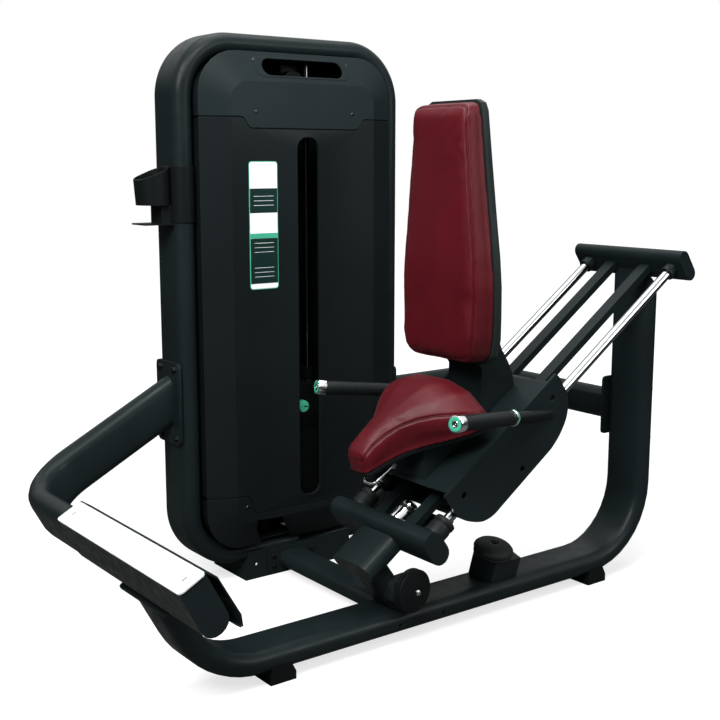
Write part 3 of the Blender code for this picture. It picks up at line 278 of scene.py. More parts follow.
class PowderCoat(Finish):
    """Baked powder coat with its orange peel, slow tone drift and rubbed spots."""

    def paint(self, bench: ShaderBench) -> None:
        """Lay the coat out on a bench."""
        peel = bench.noise(620.0, 2.0)
        self.coat(bench, bench.noise(5.0, 4.0), (0.86, 1.14), bench.noise(38.0, 6.0), (-0.05, 0.07),
                  bench.bump(peel, 0.35, 0.00012), Specular_IOR_Level=0.10)


class Moulded(Finish):
    """Moulded plastic with a spark-eroded grain over a soft wave."""

    def paint(self, bench: ShaderBench) -> None:
        """Lay the plastic out on a bench."""
        grain = bench.noise(950.0, 3.0)
        wave = bench.bump(bench.noise(9.0, 2.0), 0.10, 0.0015)
        self.coat(bench, bench.noise(3.2, 3.0), (0.88, 1.12), grain, (-0.06, 0.06),
                  bench.bump(grain, 0.40, 0.00015, Normal=wave), Specular_IOR_Level=0.08)


@dataclass(frozen=True)
class Plated(Finish):
    """Polished chrome with hairlines and a little bloom."""

    hairline: tuple[float, float, float] = (1.0, 1.0, 1.0)

    def paint(self, bench: ShaderBench) -> None:
        """Lay the plating out on a bench."""
        bloom = bench.noise(22.0, 4.0)
        lines = bench.noise(240.0, 2.0, self.hairline)
        self.coat(bench, bloom, (0.94, 1.0), bloom, (0.0, 0.06), bench.bump(lines, 0.06, 0.00008),
                  Metallic=1.0)


class SheetCoat(Finish):
    """Pale textured coat of the foot plate, with scuffs."""

    def paint(self, bench: ShaderBench) -> None:
        """Lay the coat out on a bench."""
        scuff = bench.noise(16.0, 7.0, (1.0, 4.0, 1.0))
        self.coat(bench, scuff, (0.965, 1.0), scuff, (0.08, -0.04),
                  bench.bump(bench.noise(700.0, 3.0), 0.25, 0.00012))


@dataclass(frozen=True)
class Hide(Finish):
    """Upholstery hide: pebbled grain, pores, worn sheen and slow colour drift."""

    pebble: float = 620.0

    def paint(self, bench: ShaderBench) -> None:
        """Lay the hide out on a bench."""
        creases = bench.noise(60.0, 5.0)
        pebble = bench.span(bench.cells(self.pebble), 0.0, 1.0, 0.0, 0.18)
        grain = bench.bump(pebble, 0.42, 0.00022, Normal=bench.bump(creases, 0.12, 0.0006))
        pores = bench.bump(bench.noise(1500.0, 2.0), 0.10, 0.0001, Normal=grain)
        self.coat(bench, bench.noise(7.0, 4.0), (0.84, 1.16), creases, (-0.05, 0.08), pores,
                  Specular_IOR_Level=0.18, Coat_Weight=0.02, Coat_Roughness=0.28,
                  Sheen_Weight=0.02, Sheen_Roughness=0.45)


class MouldedRubber(Finish):
    """Dull rubber with a talc bloom and fine pitting."""

    def paint(self, bench: ShaderBench) -> None:
        """Lay the rubber out on a bench."""
        bloom = bench.noise(26.0, 6.0)
        self.coat(bench, bloom, (0.8, 1.25), bloom, (-0.06, 0.08),
                  bench.bump(bench.noise(1100.0, 3.0), 0.30, 0.0002), Specular_IOR_Level=0.12)


class GlossPlastic(Finish):
    """Glossy coloured plastic with faint flow marks."""

    def paint(self, bench: ShaderBench) -> None:
        """Lay the plastic out on a bench."""
        flow = bench.noise(60.0, 3.0, (1.0, 1.0, 3.0))
        self.coat(bench, flow, (0.93, 1.06), flow, (0.0, 0.08), bench.bump(flow, 0.05, 0.0004),
                  Coat_Weight=0.2, Coat_Roughness=0.12)


class PaintedIron(Finish):
    """Cast iron under thick paint, with a sandy skin."""

    def paint(self, bench: ShaderBench) -> None:
        """Lay the paint out on a bench."""
        sand, lumps = bench.noise(420.0, 4.0), bench.noise(45.0, 3.0)
        skin = bench.bump(sand, 0.5, 0.0003, Normal=bench.bump(lumps, 0.2, 0.0012))
        self.coat(bench, lumps, (0.8, 1.3), sand, (-0.08, 0.08), skin, Specular_IOR_Level=0.15)


class Finishes:
    """The machine's finishes, by what they cover."""

    PAINT = PowderCoat("charcoal_powder_coat", Slot.PAINT, (0.0072, 0.0112, 0.0118), 0.34)
    PAINT_DARK = PowderCoat("shadow_powder_coat", Slot.PAINT, (0.0045, 0.006, 0.0062), 0.38)
    COVER = Moulded("cover_moulding", Slot.COVER, (0.0085, 0.0130, 0.0142), 0.40)
    PANEL = Moulded("lower_panel_moulding", Slot.PANEL, (0.0058, 0.0082, 0.0090), 0.40)
    BLACK = Moulded("black_moulding", Slot.BLACK, (0.0045, 0.0058, 0.0061), 0.38)
    SHELL = Moulded("back_shell_moulding", Slot.BLACK, (0.0130, 0.0175, 0.0170), 0.42)
    CHROME = Plated("polished_chrome", Slot.CHROME, (0.82, 0.83, 0.84), 0.07)
    # Guide rod chrome: a greyer base colour than the polished chrome, which dims the rods' reflections as
    # painted shade.
    ROD_CHROME_SHADED = Plated("ground_rod_chrome_painted_shade", Slot.CHROME, (0.40, 0.42, 0.43), 0.13, (1, 8, 1))
    # Stack rod chrome, darker still, for the rods inside the dark tower: painted shade.
    STACK_ROD_SHADED = Plated("stack_rod_chrome_painted_shade", Slot.CHROME, (0.22, 0.23, 0.24), 0.16, (1, 1, 8))
    ZINC = Plated("zinc_screw_plating", Slot.CHROME, (0.62, 0.64, 0.65), 0.22)
    OXIDE = Plated("blackened_screw_steel", Slot.BLACK, (0.045, 0.050, 0.054), 0.30)
    PLATE = SheetCoat("pale_foot_plate_coat", Slot.PLATE_WHITE, (0.60, 0.605, 0.605), 0.42)
    HIDE = Hide("maroon_hide", Slot.LEATHER, (0.062, 0.0020, 0.0050), 0.36)
    PIPING = Hide("maroon_piping", Slot.LEATHER, (0.050, 0.0018, 0.0038), 0.40, 900.0)
    RUBBER = MouldedRubber("black_rubber", Slot.RUBBER, (0.0090, 0.0110, 0.0112), 0.50)
    SLEEVE = MouldedRubber("grip_sleeve_rubber", Slot.RUBBER, (0.0070, 0.0090, 0.0092), 0.42)
    MINT = GlossPlastic("mint_plastic", Slot.MINT, (0.045, 0.36, 0.23), 0.28)
    IRON = PaintedIron("stack_plate_paint", Slot.IRON, (0.0045, 0.0052, 0.0054), 0.5)
    CARD_WHITE = SheetCoat("placard_white", Slot.PLATE_WHITE, (0.86, 0.88, 0.87), 0.5)
    CARD_DARK = Moulded("placard_dark", Slot.PANEL, (0.0060, 0.0200, 0.0180), 0.45)


class TreeBench(NodeBench):
    """Lays out a geometry node tree with named inputs."""

    def __init__(self, title: str, **inputs: str) -> None:
        """Start a tree with its inputs' names, underscores for spaces, and socket types."""
        super().__init__(bpy.data.node_groups.new(title, "GeometryNodeTree"))
        face = self.tree.interface
        face.new_socket("Geometry", in_out="INPUT", socket_type="NodeSocketGeometry")
        for key, kind in {**inputs, "Material": "Material"}.items():
            face.new_socket(key.replace("_", " "), in_out="INPUT", socket_type="NodeSocket" + kind)
        face.new_socket("Geometry", in_out="OUTPUT", socket_type="NodeSocketGeometry")
        self.given = self.node("NodeGroupInput").outputs
        self.sink = self.node("NodeGroupOutput")

    def path(self) -> bpy.types.Node:
        """The seed's edges as a curve."""
        return self.node("GeometryNodeMeshToCurve", Mesh=self.given["Geometry"])

    def hoop(self, radius: float | Socket, sides: int | Socket) -> bpy.types.Node:
        """A circle."""
        return self.node("GeometryNodeCurvePrimitiveCircle", Radius=radius, Resolution=sides)

    def swept(self, curve: bpy.types.Node, section: bpy.types.Node, caps: bool = True) -> bpy.types.Node:
        """A section swept along a curve."""
        return self.node("GeometryNodeCurveToMesh", Curve=curve, Profile_Curve=section, Fill_Caps=caps)

    def copies(self, points: object, part: str, way: Socket, **more: object) -> bpy.types.Node:
        """Copies of an input object on points, their Z turned to a way."""
        turn = self.node("FunctionNodeAlignRotationToVector", axis="Z", Vector=way)
        part_info = self.node("GeometryNodeObjectInfo", Object=self.given[part])
        return self.node("GeometryNodeInstanceOnPoints", Points=points,
                         Instance=part_info.outputs["Geometry"], Rotation=turn, **more)

    def close(self, geometry: bpy.types.Node) -> Tree:
        """End the tree in realized, smooth geometry with its material."""
        real = self.node("GeometryNodeRealizeInstances", Geometry=geometry)
        smooth = self.node("GeometryNodeSetShadeSmooth", Geometry=real)
        dressed = self.node("GeometryNodeSetMaterial", Geometry=smooth, Material=self.given["Material"])
        self.fill(self.sink, {0: dressed})
        return self.tree


def bent_tube_tree() -> Tree:
    """Flat-oval tube along a path of corner points that get rounded."""
    bench = TreeBench("bent_flat_oval_tube", Bend_Radius="Float", Bend_Steps="Int", Width="Float",
                      Thickness="Float", Flat_Normal="Vector")
    given = bench.given
    bend = bench.node("GeometryNodeFilletCurve", mode="POLY", Curve=bench.path(),
                      Radius=given["Bend Radius"], Count=given["Bend Steps"])
    aimed = bench.node("GeometryNodeSetCurveNormal", mode="FREE", Curve=bend, Normal=given["Flat Normal"])
    section = bench.node("GeometryNodeCurvePrimitiveQuadrilateral", Width=given["Width"],
                         Height=given["Thickness"])
    half = bench.node("ShaderNodeMath", given["Thickness"], 0.4999, operation="MULTIPLY")
    oval = bench.node("GeometryNodeFilletCurve", mode="POLY", Curve=section, Radius=half, Count=9)
    return bench.close(bench.swept(aimed, oval))


def fastener_tree() -> Tree:
    """One head on each point, turned to the point's facing attribute."""
    bench = TreeBench("fastener_heads", Head="Object", Size="Float")
    facing = bench.node("GeometryNodeInputNamedAttribute", data_type="FLOAT_VECTOR", Name="facing")
    way = next(s for s in facing.outputs if s.name == "Attribute" and s.enabled)
    return bench.close(bench.copies(bench.given["Geometry"], "Head", way, Scale=bench.given["Size"]))


def piping_tree() -> Tree:
    """Round piping along a path."""
    bench = TreeBench("round_piping", Radius="Float", Sides="Int")
    return bench.close(bench.swept(bench.path(), bench.hoop(bench.given["Radius"], bench.given["Sides"])))


def stitch_tree() -> Tree:
    """Short threads laid end to end along a path."""
    bench = TreeBench("thread_stitches", Pitch="Float", Thread="Object")
    even = bench.node("GeometryNodeResampleCurve", mode="LENGTH", Curve=bench.path(),
                      Length=bench.given["Pitch"])
    return bench.close(bench.copies(even, "Thread", bench.node("GeometryNodeInputTangent")))


def ring_tree() -> Tree:
    """Equal rounded rings in a row: ribs of a sleeve or a buffer."""
    bench = TreeBench("row_of_rings", Count="Int", Pitch="Vector", Radius="Float", Bead="Float",
                      Sides="Int")
    given = bench.given
    row = bench.node("GeometryNodeMeshLine", Count=given["Count"], Offset=given["Pitch"])
    ring = bench.swept(bench.hoop(given["Radius"], given["Sides"]), bench.hoop(given["Bead"], 8), False)
    return bench.close(bench.node("GeometryNodeInstanceOnPoints", Points=row, Instance=ring))


def skin_of(obj: Obj) -> BVHTree:
    """An object's skin, for the nearest points on it."""
    return BVHTree.FromObject(obj, bpy.context.evaluated_depsgraph_get())


def array_of(items: bpy.types.bpy_prop_collection, key: str, count: int) -> np.ndarray:
    """A vector property of mesh items as rows of three."""
    rows = np.empty(count * 3)
    items.foreach_get(key, rows)
    return rows.reshape(-1, 3)


class Workshop:
    """Makes plain mesh objects and grows geometry node trees into them."""

    MERGE, FLAT_ANGLE = 2e-5, 0.6    # points this near are one, faces this flat to each other too
    CLOTH_FRAMES, PRESSURE, STIFFNESS = 20, 4.0, 25.0
    PULLED_IN = 0.45    # share of the swell by which a cushion first shrinks
    RIM_CREASE = 0.8

    def __init__(self) -> None:
        """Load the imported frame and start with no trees."""
        self.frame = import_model()
        self.start_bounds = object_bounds()
        self.trees: dict[Callable[[], Tree], Tree] = {}
        ring_low, ring_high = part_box("tower_ring")
        base_low, base_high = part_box("base_tube")
        self.origin = Vector(((ring_low.x + ring_high.x) / 2 - TOWER_X, (base_low.y + base_high.y) / 2, 0))

    def at(self, x: float, y: float, z: float) -> Vector:
        """A point of the machine's layout, with X = 0 under the stack side and Y = 0 on the base."""
        return self.origin + Vector((x, y, z))

    def slope(self, s: float, h: float, y: float = 0.0) -> Vector:
        """A point by its distance along the guide slope and its height square to it."""
        return self.origin + SLOPE * s + SLOPE_UP * h + Y_AXIS * y

    def link(self, name: str, data: bpy.types.Mesh, finish: Finish | None = None) -> Obj:
        """Put mesh data in the scene as an object and dress it."""
        obj = bpy.data.objects.new(name, data)
        bpy.context.scene.collection.objects.link(obj)
        if finish is not None:
            self.dress(obj, finish)
        return obj

    def dress(self, obj: Obj, finish: Finish) -> None:
        """Give an object one finish all over."""
        obj.data.materials.clear()
        obj.data.materials.append(finish.material())

    def path(self, points: Sequence[Vector], closed: bool = False, joined: bool = True) -> Obj:
        """A seed object that holds a row of points, joined by edges unless told."""
        edges = [(i, i + 1) for i in range(len(points) - 1)] if joined else []
        if closed:
            edges.append((len(points) - 1, 0))
        data = bpy.data.meshes.new("path")
        data.from_pydata([tuple(p) for p in points], edges, [])
        return self.link("path", data)

    def baked(self, obj: Obj) -> Obj:
        """Turn an object with modifiers into a plain mesh under the same name."""
        bpy.context.view_layer.update()
        data = bpy.data.meshes.new_from_object(obj.evaluated_get(bpy.context.evaluated_depsgraph_get()))
        obj.modifiers.clear()
        old, obj.data = obj.data, data
        bpy.data.meshes.remove(old)
        return obj

    def modified(self, obj: Obj, kind: str, **settings: object) -> Obj:
        """Apply one modifier to an object."""
        mod = obj.modifiers.new(kind.lower(), kind)
        for key, value in settings.items():
            setattr(mod, key, value)
        return self.baked(obj)

    def eased(self, obj: Obj, edge: float, angle: float = CREASE_ANGLE) -> Obj:
        """Round an object's sharp edges a little."""
        return self.modified(obj, "BEVEL", width=edge, segments=2, limit_method="ANGLE",
                             angle_limit=math.radians(angle), use_clamp_overlap=True,
                             harden_normals=True)

    def cut(self, target: Obj, tool: Obj) -> Obj:
        """Cut a closed tool out of a target; the tool is used up."""
        self.modified(target, "BOOLEAN", operation="DIFFERENCE", solver="EXACT", object=tool)
        self.drop(tool)
        return target

    def drop(self, *objects: Obj) -> None:
        """Remove helper objects."""
        for obj in objects:
            bpy.data.objects.remove(obj, do_unlink=True)

    def smoothed(self, obj: Obj, sharp: float) -> Obj:
        """Shade an object smooth but for its sharp edges."""
        obj.data.shade_smooth()
        obj.data.set_sharp_from_angle(angle=math.radians(sharp))
        return obj

    def from_bmesh(self, name: str, bm: bmesh.types.BMesh, finish: Finish, sharp: float = CREASE_ANGLE,
                   turn_out: bool = True) -> Obj:
        """An object from a bmesh with its faces turned outwards."""
        if turn_out:
            bmesh.ops.recalc_face_normals(bm, faces=bm.faces)
        data = bpy.data.meshes.new(name)
        bm.to_mesh(data)
        bm.free()
        return self.smoothed(self.link(name, data, finish), sharp)

    def skin(self, name: str, rings: Sequence[Sequence[Vector]], finish: Finish) -> Obj:
        """Skin a row of equal rings and cap the ends."""
        bm = bmesh.new()
        loops = [[bm.verts.new(p) for p in ring] for ring in rings]
        for a, b in zip(loops, loops[1:]):
            for k in range(len(a)):
                j = (k + 1) % len(a)
                bm.faces.new((a[k], a[j], b[j], b[k]))
        bm.faces.new(loops[0])
        bm.faces.new(loops[-1][::-1])
        return self.from_bmesh(name, bm, finish)

    def turned(self, name: str, profile: Sequence[Pair], base: Vector, axis: Vector, finish: Finish,
               steps: int = 48, sharp: float = CREASE_ANGLE) -> Obj:
        """Turn a closed (radius, height) profile about an axis.

        Args:
            name: Name of the object.
            profile: Radius and height pairs, round the section.
            base: Where height 0 lies.
            axis: Direction of growing height.
            finish: What it is dressed in.
            steps: Facets round the axis.
            sharp: Edges above this angle stay sharp.

        Returns:
            The turned object.
        """
        axis = axis.normalized()
        side = axis.cross(X_AXIS if abs(axis.x) < 0.8 else Y_AXIS).normalized()
        other = axis.cross(side)
        bm = bmesh.new()
        loops: list[list[bmesh.types.BMVert]] = []
        for radius, height in profile:
            foot = base + axis * height
            turns = [2 * math.pi * k / steps for k in range(steps)] if radius > 1e-7 else [0.0]
            loops.append([bm.verts.new(foot + (side * math.cos(t) + other * math.sin(t)) * radius)
                          for t in turns])
        for a, b in zip(loops, loops[1:] + loops[:1]):
            for k in range(steps):
                j = (k + 1) % steps
                ends = [a[k % len(a)], a[j % len(a)], b[j % len(b)], b[k % len(b)]]
                corners = list(dict.fromkeys(ends))
                if len(corners) > 2:
                    bm.faces.new(corners)
        return self.from_bmesh(name, bm, finish, sharp)

    def pushed(self, name: str, outline: Sequence[Pair], origin: Vector, u: Vector, v: Vector,
               depth: float, finish: Finish) -> Obj:
        """Push a flat outline in the plane of u and v along u x v."""
        bm = bmesh.new()
        low = [bm.verts.new(origin + u * a + v * b) for a, b in outline]
        high = [bm.verts.new(p.co + u.cross(v).normalized() * depth) for p in low]
        for k in range(len(low)):
            j = (k + 1) % len(low)
            bm.faces.new((low[k], low[j], high[j], high[k]))
        bm.faces.new(low[::-1])
        bm.faces.new(high)
        return self.from_bmesh(name, bm, finish)

    def refined(self, node: str, finish: Finish, edge: float, angle: float) -> Obj:
        """A copy of a CAD node with merged points and eased edges, riding on the node's body."""
        source = self.frame["nodes"][node]
        bm = bmesh.new()
        bm.from_mesh(source.data)
        bmesh.ops.remove_doubles(bm, verts=bm.verts, dist=self.MERGE)
        bmesh.ops.dissolve_limit(bm, angle_limit=math.radians(self.FLAT_ANGLE), verts=bm.verts,
                                 edges=bm.edges)
        obj = self.eased(self.from_bmesh(node + "_dressed", bm, finish, angle, False), edge, angle)
        return self.place(obj, Body(source["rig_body"]), finish, node)

    def place(self, obj: Obj, body: Body, finish: Finish, *nodes: str) -> Obj:
        """Ride a piece on a body and the CAD nodes that it stands for."""
        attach(obj, body.value)
        if nodes:
            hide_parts(*nodes)
        LOG.info("%s: %d faces on %s", obj.name, len(obj.data.polygons), body.value)
        return obj

    def grown(self, name: str, maker: Callable[[], Tree], seed: Obj, finish: Finish,
              **values: object) -> Obj:
        """Grow a tree on a seed object and keep the result as a plain mesh.

        Args:
            name: Name of the finished piece.
            maker: Function that lays out the tree, which is made once.
            seed: Object whose mesh the tree starts from; it becomes the piece.
            finish: What the piece is dressed in.
            values: The tree's inputs, with underscores for spaces.

        Returns:
            The finished piece.
        """
        if maker not in self.trees:
            self.trees[maker] = maker()
        tree = self.trees[maker]
        seed.name = name
        mod = seed.modifiers.new("grow", "NODES")
        mod.node_group = tree
        sockets = {s.name: s.identifier for s in tree.interface.items_tree if s.in_out == "INPUT"}
        for key, value in {**values, "Material": finish.material()}.items():
            mod[sockets[key.replace("_", " ")]] = value
        return self.baked(seed)

    def beads(self, name: str, base: Vector, axis: Vector, count: int, pitch: float, radius: float,
              bead: float, finish: Finish) -> Obj:
        """A row of equal beads round an axis, from a base point onwards."""
        piece = self.grown(name, ring_tree, self.path([ZERO]), finish, Count=count,
                           Pitch=(0.0, 0.0, pitch), Radius=radius, Bead=bead, Sides=40)
        turn = axis.normalized().to_track_quat("Z", "Y").to_matrix().to_4x4()
        piece.data.transform(Matrix.Translation(base) @ turn)
        return piece

    def fasteners(self, name: str, spots: Sequence[Spot], finish: Finish, r: float, kind: str) -> Obj:
        """Screw or bolt heads.

        Args:
            name: Name of the piece.
            spots: Point and outward direction of each head.
            finish: What the heads are dressed in.
            r: Radius of a head.
            kind: "socket" for a cap screw, "dome" for a flat dome head, "hex" for a bolt.

        Returns:
            The piece with all the heads.
        """
        profiles = {
            "socket": [(0, -0.0004), (r * 0.94, -0.0004), (r, 0.0002), (r, r * 0.75), (r * 0.86, r * 0.92),
                       (r * 0.52, r * 0.92), (r * 0.50, r * 0.40), (0, r * 0.34)],
            "dome": [(0, -0.0004), (r, -0.0004), (r, r * 0.08), (r * 0.82, r * 0.30), (r * 0.50, r * 0.42),
                     (r * 0.42, r * 0.42), (r * 0.40, r * 0.10), (0, r * 0.08)],
            "hex": [(0, -0.0004), (r * 1.15, -0.0004), (r * 1.15, r * 0.14), (r, r * 0.16), (r, r * 0.62),
                    (r * 0.84, r * 0.72), (0, r * 0.72)],
        }
        head = self.turned("head", profiles[kind], ZERO, Z_AXIS, finish, 6 if kind == "hex" else 20)
        seed = self.path([p for p, _ in spots], joined=False)
        facing = seed.data.attributes.new("facing", "FLOAT_VECTOR", "POINT")
        facing.data.foreach_set("vector", [c for _, way in spots for c in way.normalized()])
        piece = self.grown(name, fastener_tree, seed, finish, Head=head, Size=1.0)
        self.drop(head)
        return self.smoothed(piece, TURNED_ANGLE)

    def cage(self, name: str, rings: Sequence[Sequence[Vector]], rim: Sequence[int],
             finish: Finish) -> Obj:
        """A soft closed form through rings of points whose flat side keeps its rim.

        Args:
            name: Name of the object.
            rings: Rows of points along the form.
            rim: Which points of a row lie on the flat side.
            finish: What it is dressed in.

        Returns:
            The subdivided form.
        """
        obj = self.skin(name, rings, finish)
        crease = obj.data.attributes.new("crease_edge", "FLOAT", "EDGE")
        for edge in obj.data.edges:
            if all(v % len(rings[0]) in rim for v in edge.vertices):
                crease.data[edge.index].value = self.RIM_CREASE
        return self.modified(obj, "SUBSURF", levels=2, render_levels=2)

    def stuffed(self, cage: Obj, form: Obj, base: Vector, voxel: float, swell: float,
                fill: float) -> Obj:
        """Swell a closed cage into a filled cushion by cloth pressure.

        Args:
            cage: Closed mesh near the cushion's form; it becomes the cushion.
            form: Exact form that the cage is laid on; it is used up.
            base: Direction of the flat side that rests on its board.
            voxel: Cell size of the remesh.
            swell: The most that a point may move.
            fill: How tight the cushion is, from 0 to 1; not used.

        Returns:
            The cushion as a plain mesh.
        """
        self.modified(cage, "REMESH", mode="VOXEL", voxel_size=voxel)
        skin = skin_of(form)
        for vert in cage.data.vertices:
            vert.co = skin.find_nearest(vert.co)[0]
        self.drop(form)
        data = self.modified(cage, "SMOOTH", factor=0.5, iterations=6).data
        count = len(data.vertices)
        rest = array_of(data.vertices, "co", count)
        ways = array_of(data.vertex_normals, "vector", count)
        free = np.clip((0.75 - ways @ np.array(base.normalized())) / 0.5, 0.0, 1.0)[:, None]
        rest = rest - ways * free * swell * self.PULLED_IN
        data.vertices.foreach_set("co", rest.ravel())
        data.update()
        moved = self.pressed(cage, count)
        shift = moved - rest
        size = np.linalg.norm(shift, axis=1, keepdims=True)
        shift *= np.minimum(1.0, swell / np.maximum(size, 1e-9))
        data.vertices.foreach_set("co", (rest + shift * free).ravel())
        self.modified(cage, "SMOOTH", iterations=5)
        self.modified(cage, "SUBSURF", levels=1, render_levels=1)
        cage.data.shade_smooth()
        return cage

    def pressed(self, cage: Obj, count: int) -> np.ndarray:
        """Run some frames of cloth under inner pressure and give the points where they end."""
        scene = bpy.context.scene
        mod = cage.modifiers.new("pressure", "CLOTH")
        mod.settings.use_pressure = True
        mod.settings.uniform_pressure_force = self.PRESSURE
        mod.settings.effector_weights.gravity = 0.0
        mod.settings.tension_stiffness = mod.settings.compression_stiffness = self.STIFFNESS
        mod.point_cache.frame_start, mod.point_cache.frame_end = 1, self.CLOTH_FRAMES
        for frame in range(1, self.CLOTH_FRAMES + 1):
            scene.frame_set(frame)
        swollen = cage.evaluated_get(bpy.context.evaluated_depsgraph_get()).data
        moved = array_of(swollen.vertices, "co", count)
        cage.modifiers.clear()
        scene.frame_set(1)
        return moved

    def seamed(self, pad: Obj, line: Sequence[Vector], reach: float, depth: float) -> list[Vector]:
        """Press a seam into a cushion along a closed line.

        Args:
            pad: The cushion.
            line: Points near the surface, joined in a ring.
            reach: Half width of the pressed band.
            depth: How deep it goes.

        Returns:
            The line laid onto the pressed surface.
        """
        skin = skin_of(pad)
        laid = [skin.find_nearest(p)[0] for p in line]
        dense = []
        for a, b in zip(laid, laid[1:] + laid[:1]):
            steps = max(1, int((b - a).length / (reach * 0.4)))
            dense.extend(a.lerp(b, k / steps) for k in range(steps))
        near = KDTree(len(dense))
        for k, p in enumerate(dense):
            near.insert(p, k)
        near.balance()
        for vert in pad.data.vertices:
            gap = near.find(vert.co)[2]
            if gap < reach:
                vert.co -= vert.normal * depth * (0.5 + 0.5 * math.cos(math.pi * gap / reach)) ** 1.5
        pad.data.update()
        skin = skin_of(pad)
        return [skin.find_nearest(p)[0] for p in dense]


def rounded_outline(x0: float, x1: float, y0: float, y1: float, radius: float,
                    steps: int = 6) -> list[Pair]:
    """Outline of a rectangle with round corners."""
    points = []
    for cx, cy, start in ((x1 - radius, y0 + radius, -90), (x1 - radius, y1 - radius, 0),
                          (x0 + radius, y1 - radius, 90), (x0 + radius, y0 + radius, 180)):
        for k in range(steps + 1):
            turn = math.radians(start + 90 * k / steps)
            points.append((cx + radius * math.cos(turn), cy + radius * math.sin(turn)))
    return points


def blended(points: Sequence[Pair], steps: int = 6) -> list[Pair]:
    """Points filled in along a smooth curve through the given ones."""
    filled = []
    last = len(points) - 1
    for i in range(last):
        rows = (points[max(i - 1, 0)], points[i], points[i + 1], points[min(i + 2, last)])
        for k in range(steps):
            t = k / steps
            filled.append(tuple(0.5 * (2 * b + (c - a) * t + (2 * a - 5 * b + 4 * c - d) * t * t
                                       + (3 * b - a - 3 * c + d) * t ** 3) for a, b, c, d in zip(*rows)))
    return filled + [points[last]]


class Assembly:
    """One sub-assembly of the machine."""

    body = Body.FRAME

    def __init__(self, shop: Workshop) -> None:
        """Start without pieces."""
        self.shop = shop
        self.pieces: list[Obj] = []

    def build(self) -> None:
        """Make the sub-assembly's pieces."""
        raise NotImplementedError

    def keep(self, obj: Obj, finish: Finish, *nodes: str, body: Body | None = None) -> None:
        """Place a finished piece, on the sub-assembly's body unless told, and keep it."""
        self.pieces.append(self.shop.place(obj, body or self.body, finish, *nodes))

    def refine(self, finish: Finish, *nodes: str, edge: float, angle: float = CREASE_ANGLE) -> None:
        """Dress CAD nodes as they are, with eased edges, each on its own body."""
        for node in nodes:
            self.pieces.append(self.shop.refined(node, finish, edge, angle))

    def heads(self, name: str, spots: Sequence[Spot], radius: float, kind: str = "hex",
              finish: Finish = Finishes.ZINC) -> None:
        """Add screw or bolt heads."""
        self.keep(self.shop.fasteners(name, spots, finish, radius, kind), finish)

    def lathe(self, name: str, profile: Sequence[Pair], base: Vector, axis: Vector, finish: Finish,
              *nodes: str, steps: int = 48, body: Body | None = None) -> None:
        """Add a turned piece."""
        made = self.shop.turned(name, profile, base, axis, finish, steps, TURNED_ANGLE)
        self.keep(made, finish, *nodes, body=body)


class BaseFrame(Assembly):
    """Bent base tube on its two feet, the arm to the platform and the tower's feet."""

    EDGE = 0.0012
    BRACE_HEIGHT = 0.468
    # middles of the bolted flanges
    ARM_FLANGE = (-0.3943, TOWER_Y, 0.528)
    TOWER_FLANGE = (0.3543, TOWER_Y, BRACE_HEIGHT)
    UPRIGHT_FLANGE = (0.769, 0.0763, BRACE_HEIGHT)
    CROSS_FLANGE = (-0.049, 0.5334, 0.0416)
    UPRIGHT_BOLTS = ((0.797, -0.040, 0.386), (0.797, -0.040, 0.527))
    FLANGE_HEAD, UPRIGHT_HEAD, CROSS_HEAD = 0.0085, 0.0090, 0.0066

    def build(self) -> None:
        """Make the sub-assembly's pieces."""
        self.refine(Finishes.PAINT, "base_tube", "platform_arm", "rear_brace", edge=0.0006, angle=50.0)
        self.refine(Finishes.PAINT, "cross_tube", "tower_foot", edge=self.EDGE)
        self.refine(Finishes.BLACK, "foot_front", "foot_rear", edge=self.EDGE)
        arm = self.four(self.ARM_FLANGE, Y_AXIS * 0.040, 0.094, -X_AXIS)
        side = self.four(self.TOWER_FLANGE, Y_AXIS * 0.032, 0.068, X_AXIS)
        rear = self.four(self.UPRIGHT_FLANGE, X_AXIS * 0.026, 0.068, Y_AXIS)
        cross = self.four(self.CROSS_FLANGE, X_AXIS * 0.065, 0.015, -Y_AXIS)
        upright = [(self.shop.at(*place), X_AXIS) for place in self.UPRIGHT_BOLTS]
        self.heads("flange_bolts", arm + side + rear, self.FLANGE_HEAD, "hex", Finishes.OXIDE)
        self.heads("upright_bolts", upright, self.UPRIGHT_HEAD, "socket")
        self.heads("cross_tube_bolts", cross, self.CROSS_HEAD, "hex", Finishes.OXIDE)

    def four(self, middle: Sequence[float], side: Vector, rise: float, way: Vector) -> list[Spot]:
        """The bolts at the corners of a flange, and the way that they face."""
        return [(self.shop.at(*middle) + side * a + Z_AXIS * (rise * b), way)
                for a in (-1, 1) for b in (-1, 1)]


class FootPlatform(Assembly):
    """Sloping foot plate with its toe plate and rounded channel."""

    MIDDLE, WIDTH, HALF = -0.5435, 0.066, 0.292
    UNDERSIDE, THICK, CORNER = 0.7193, 0.0042, 0.010
    SLOT_FROM_END = 0.032
    SLOT_LONG, SLOT_WIDE, SLOT_CORNER = 0.0065, 0.0026, 0.0025

    def build(self) -> None:
        """Make the sub-assembly's pieces."""
        self.refine(Finishes.PAINT, "toe_plate", "platform_channel", edge=0.0012)
        shop, finish, middle = self.shop, Finishes.PLATE, self.MIDDLE
        base = shop.origin + ARM_UP * self.UNDERSIDE
        outline = rounded_outline(middle - self.WIDTH / 2, middle + self.WIDTH / 2, -self.HALF,
                                  self.HALF, self.CORNER)
        plate = shop.pushed("foot_plate_dressed", outline, base, ARM_DIR, Y_AXIS, self.THICK, finish)
        for y in (-self.HALF + self.SLOT_FROM_END, self.HALF - self.SLOT_FROM_END):
            slot = rounded_outline(middle - self.SLOT_LONG, middle + self.SLOT_LONG,
                                   y - self.SLOT_WIDE, y + self.SLOT_WIDE, self.SLOT_CORNER)
            shop.cut(plate, shop.pushed("slot", slot, base - ARM_UP * 0.01, ARM_DIR, Y_AXIS, 0.03, finish))
        self.keep(shop.eased(plate, 0.0007), finish, "foot_plate")


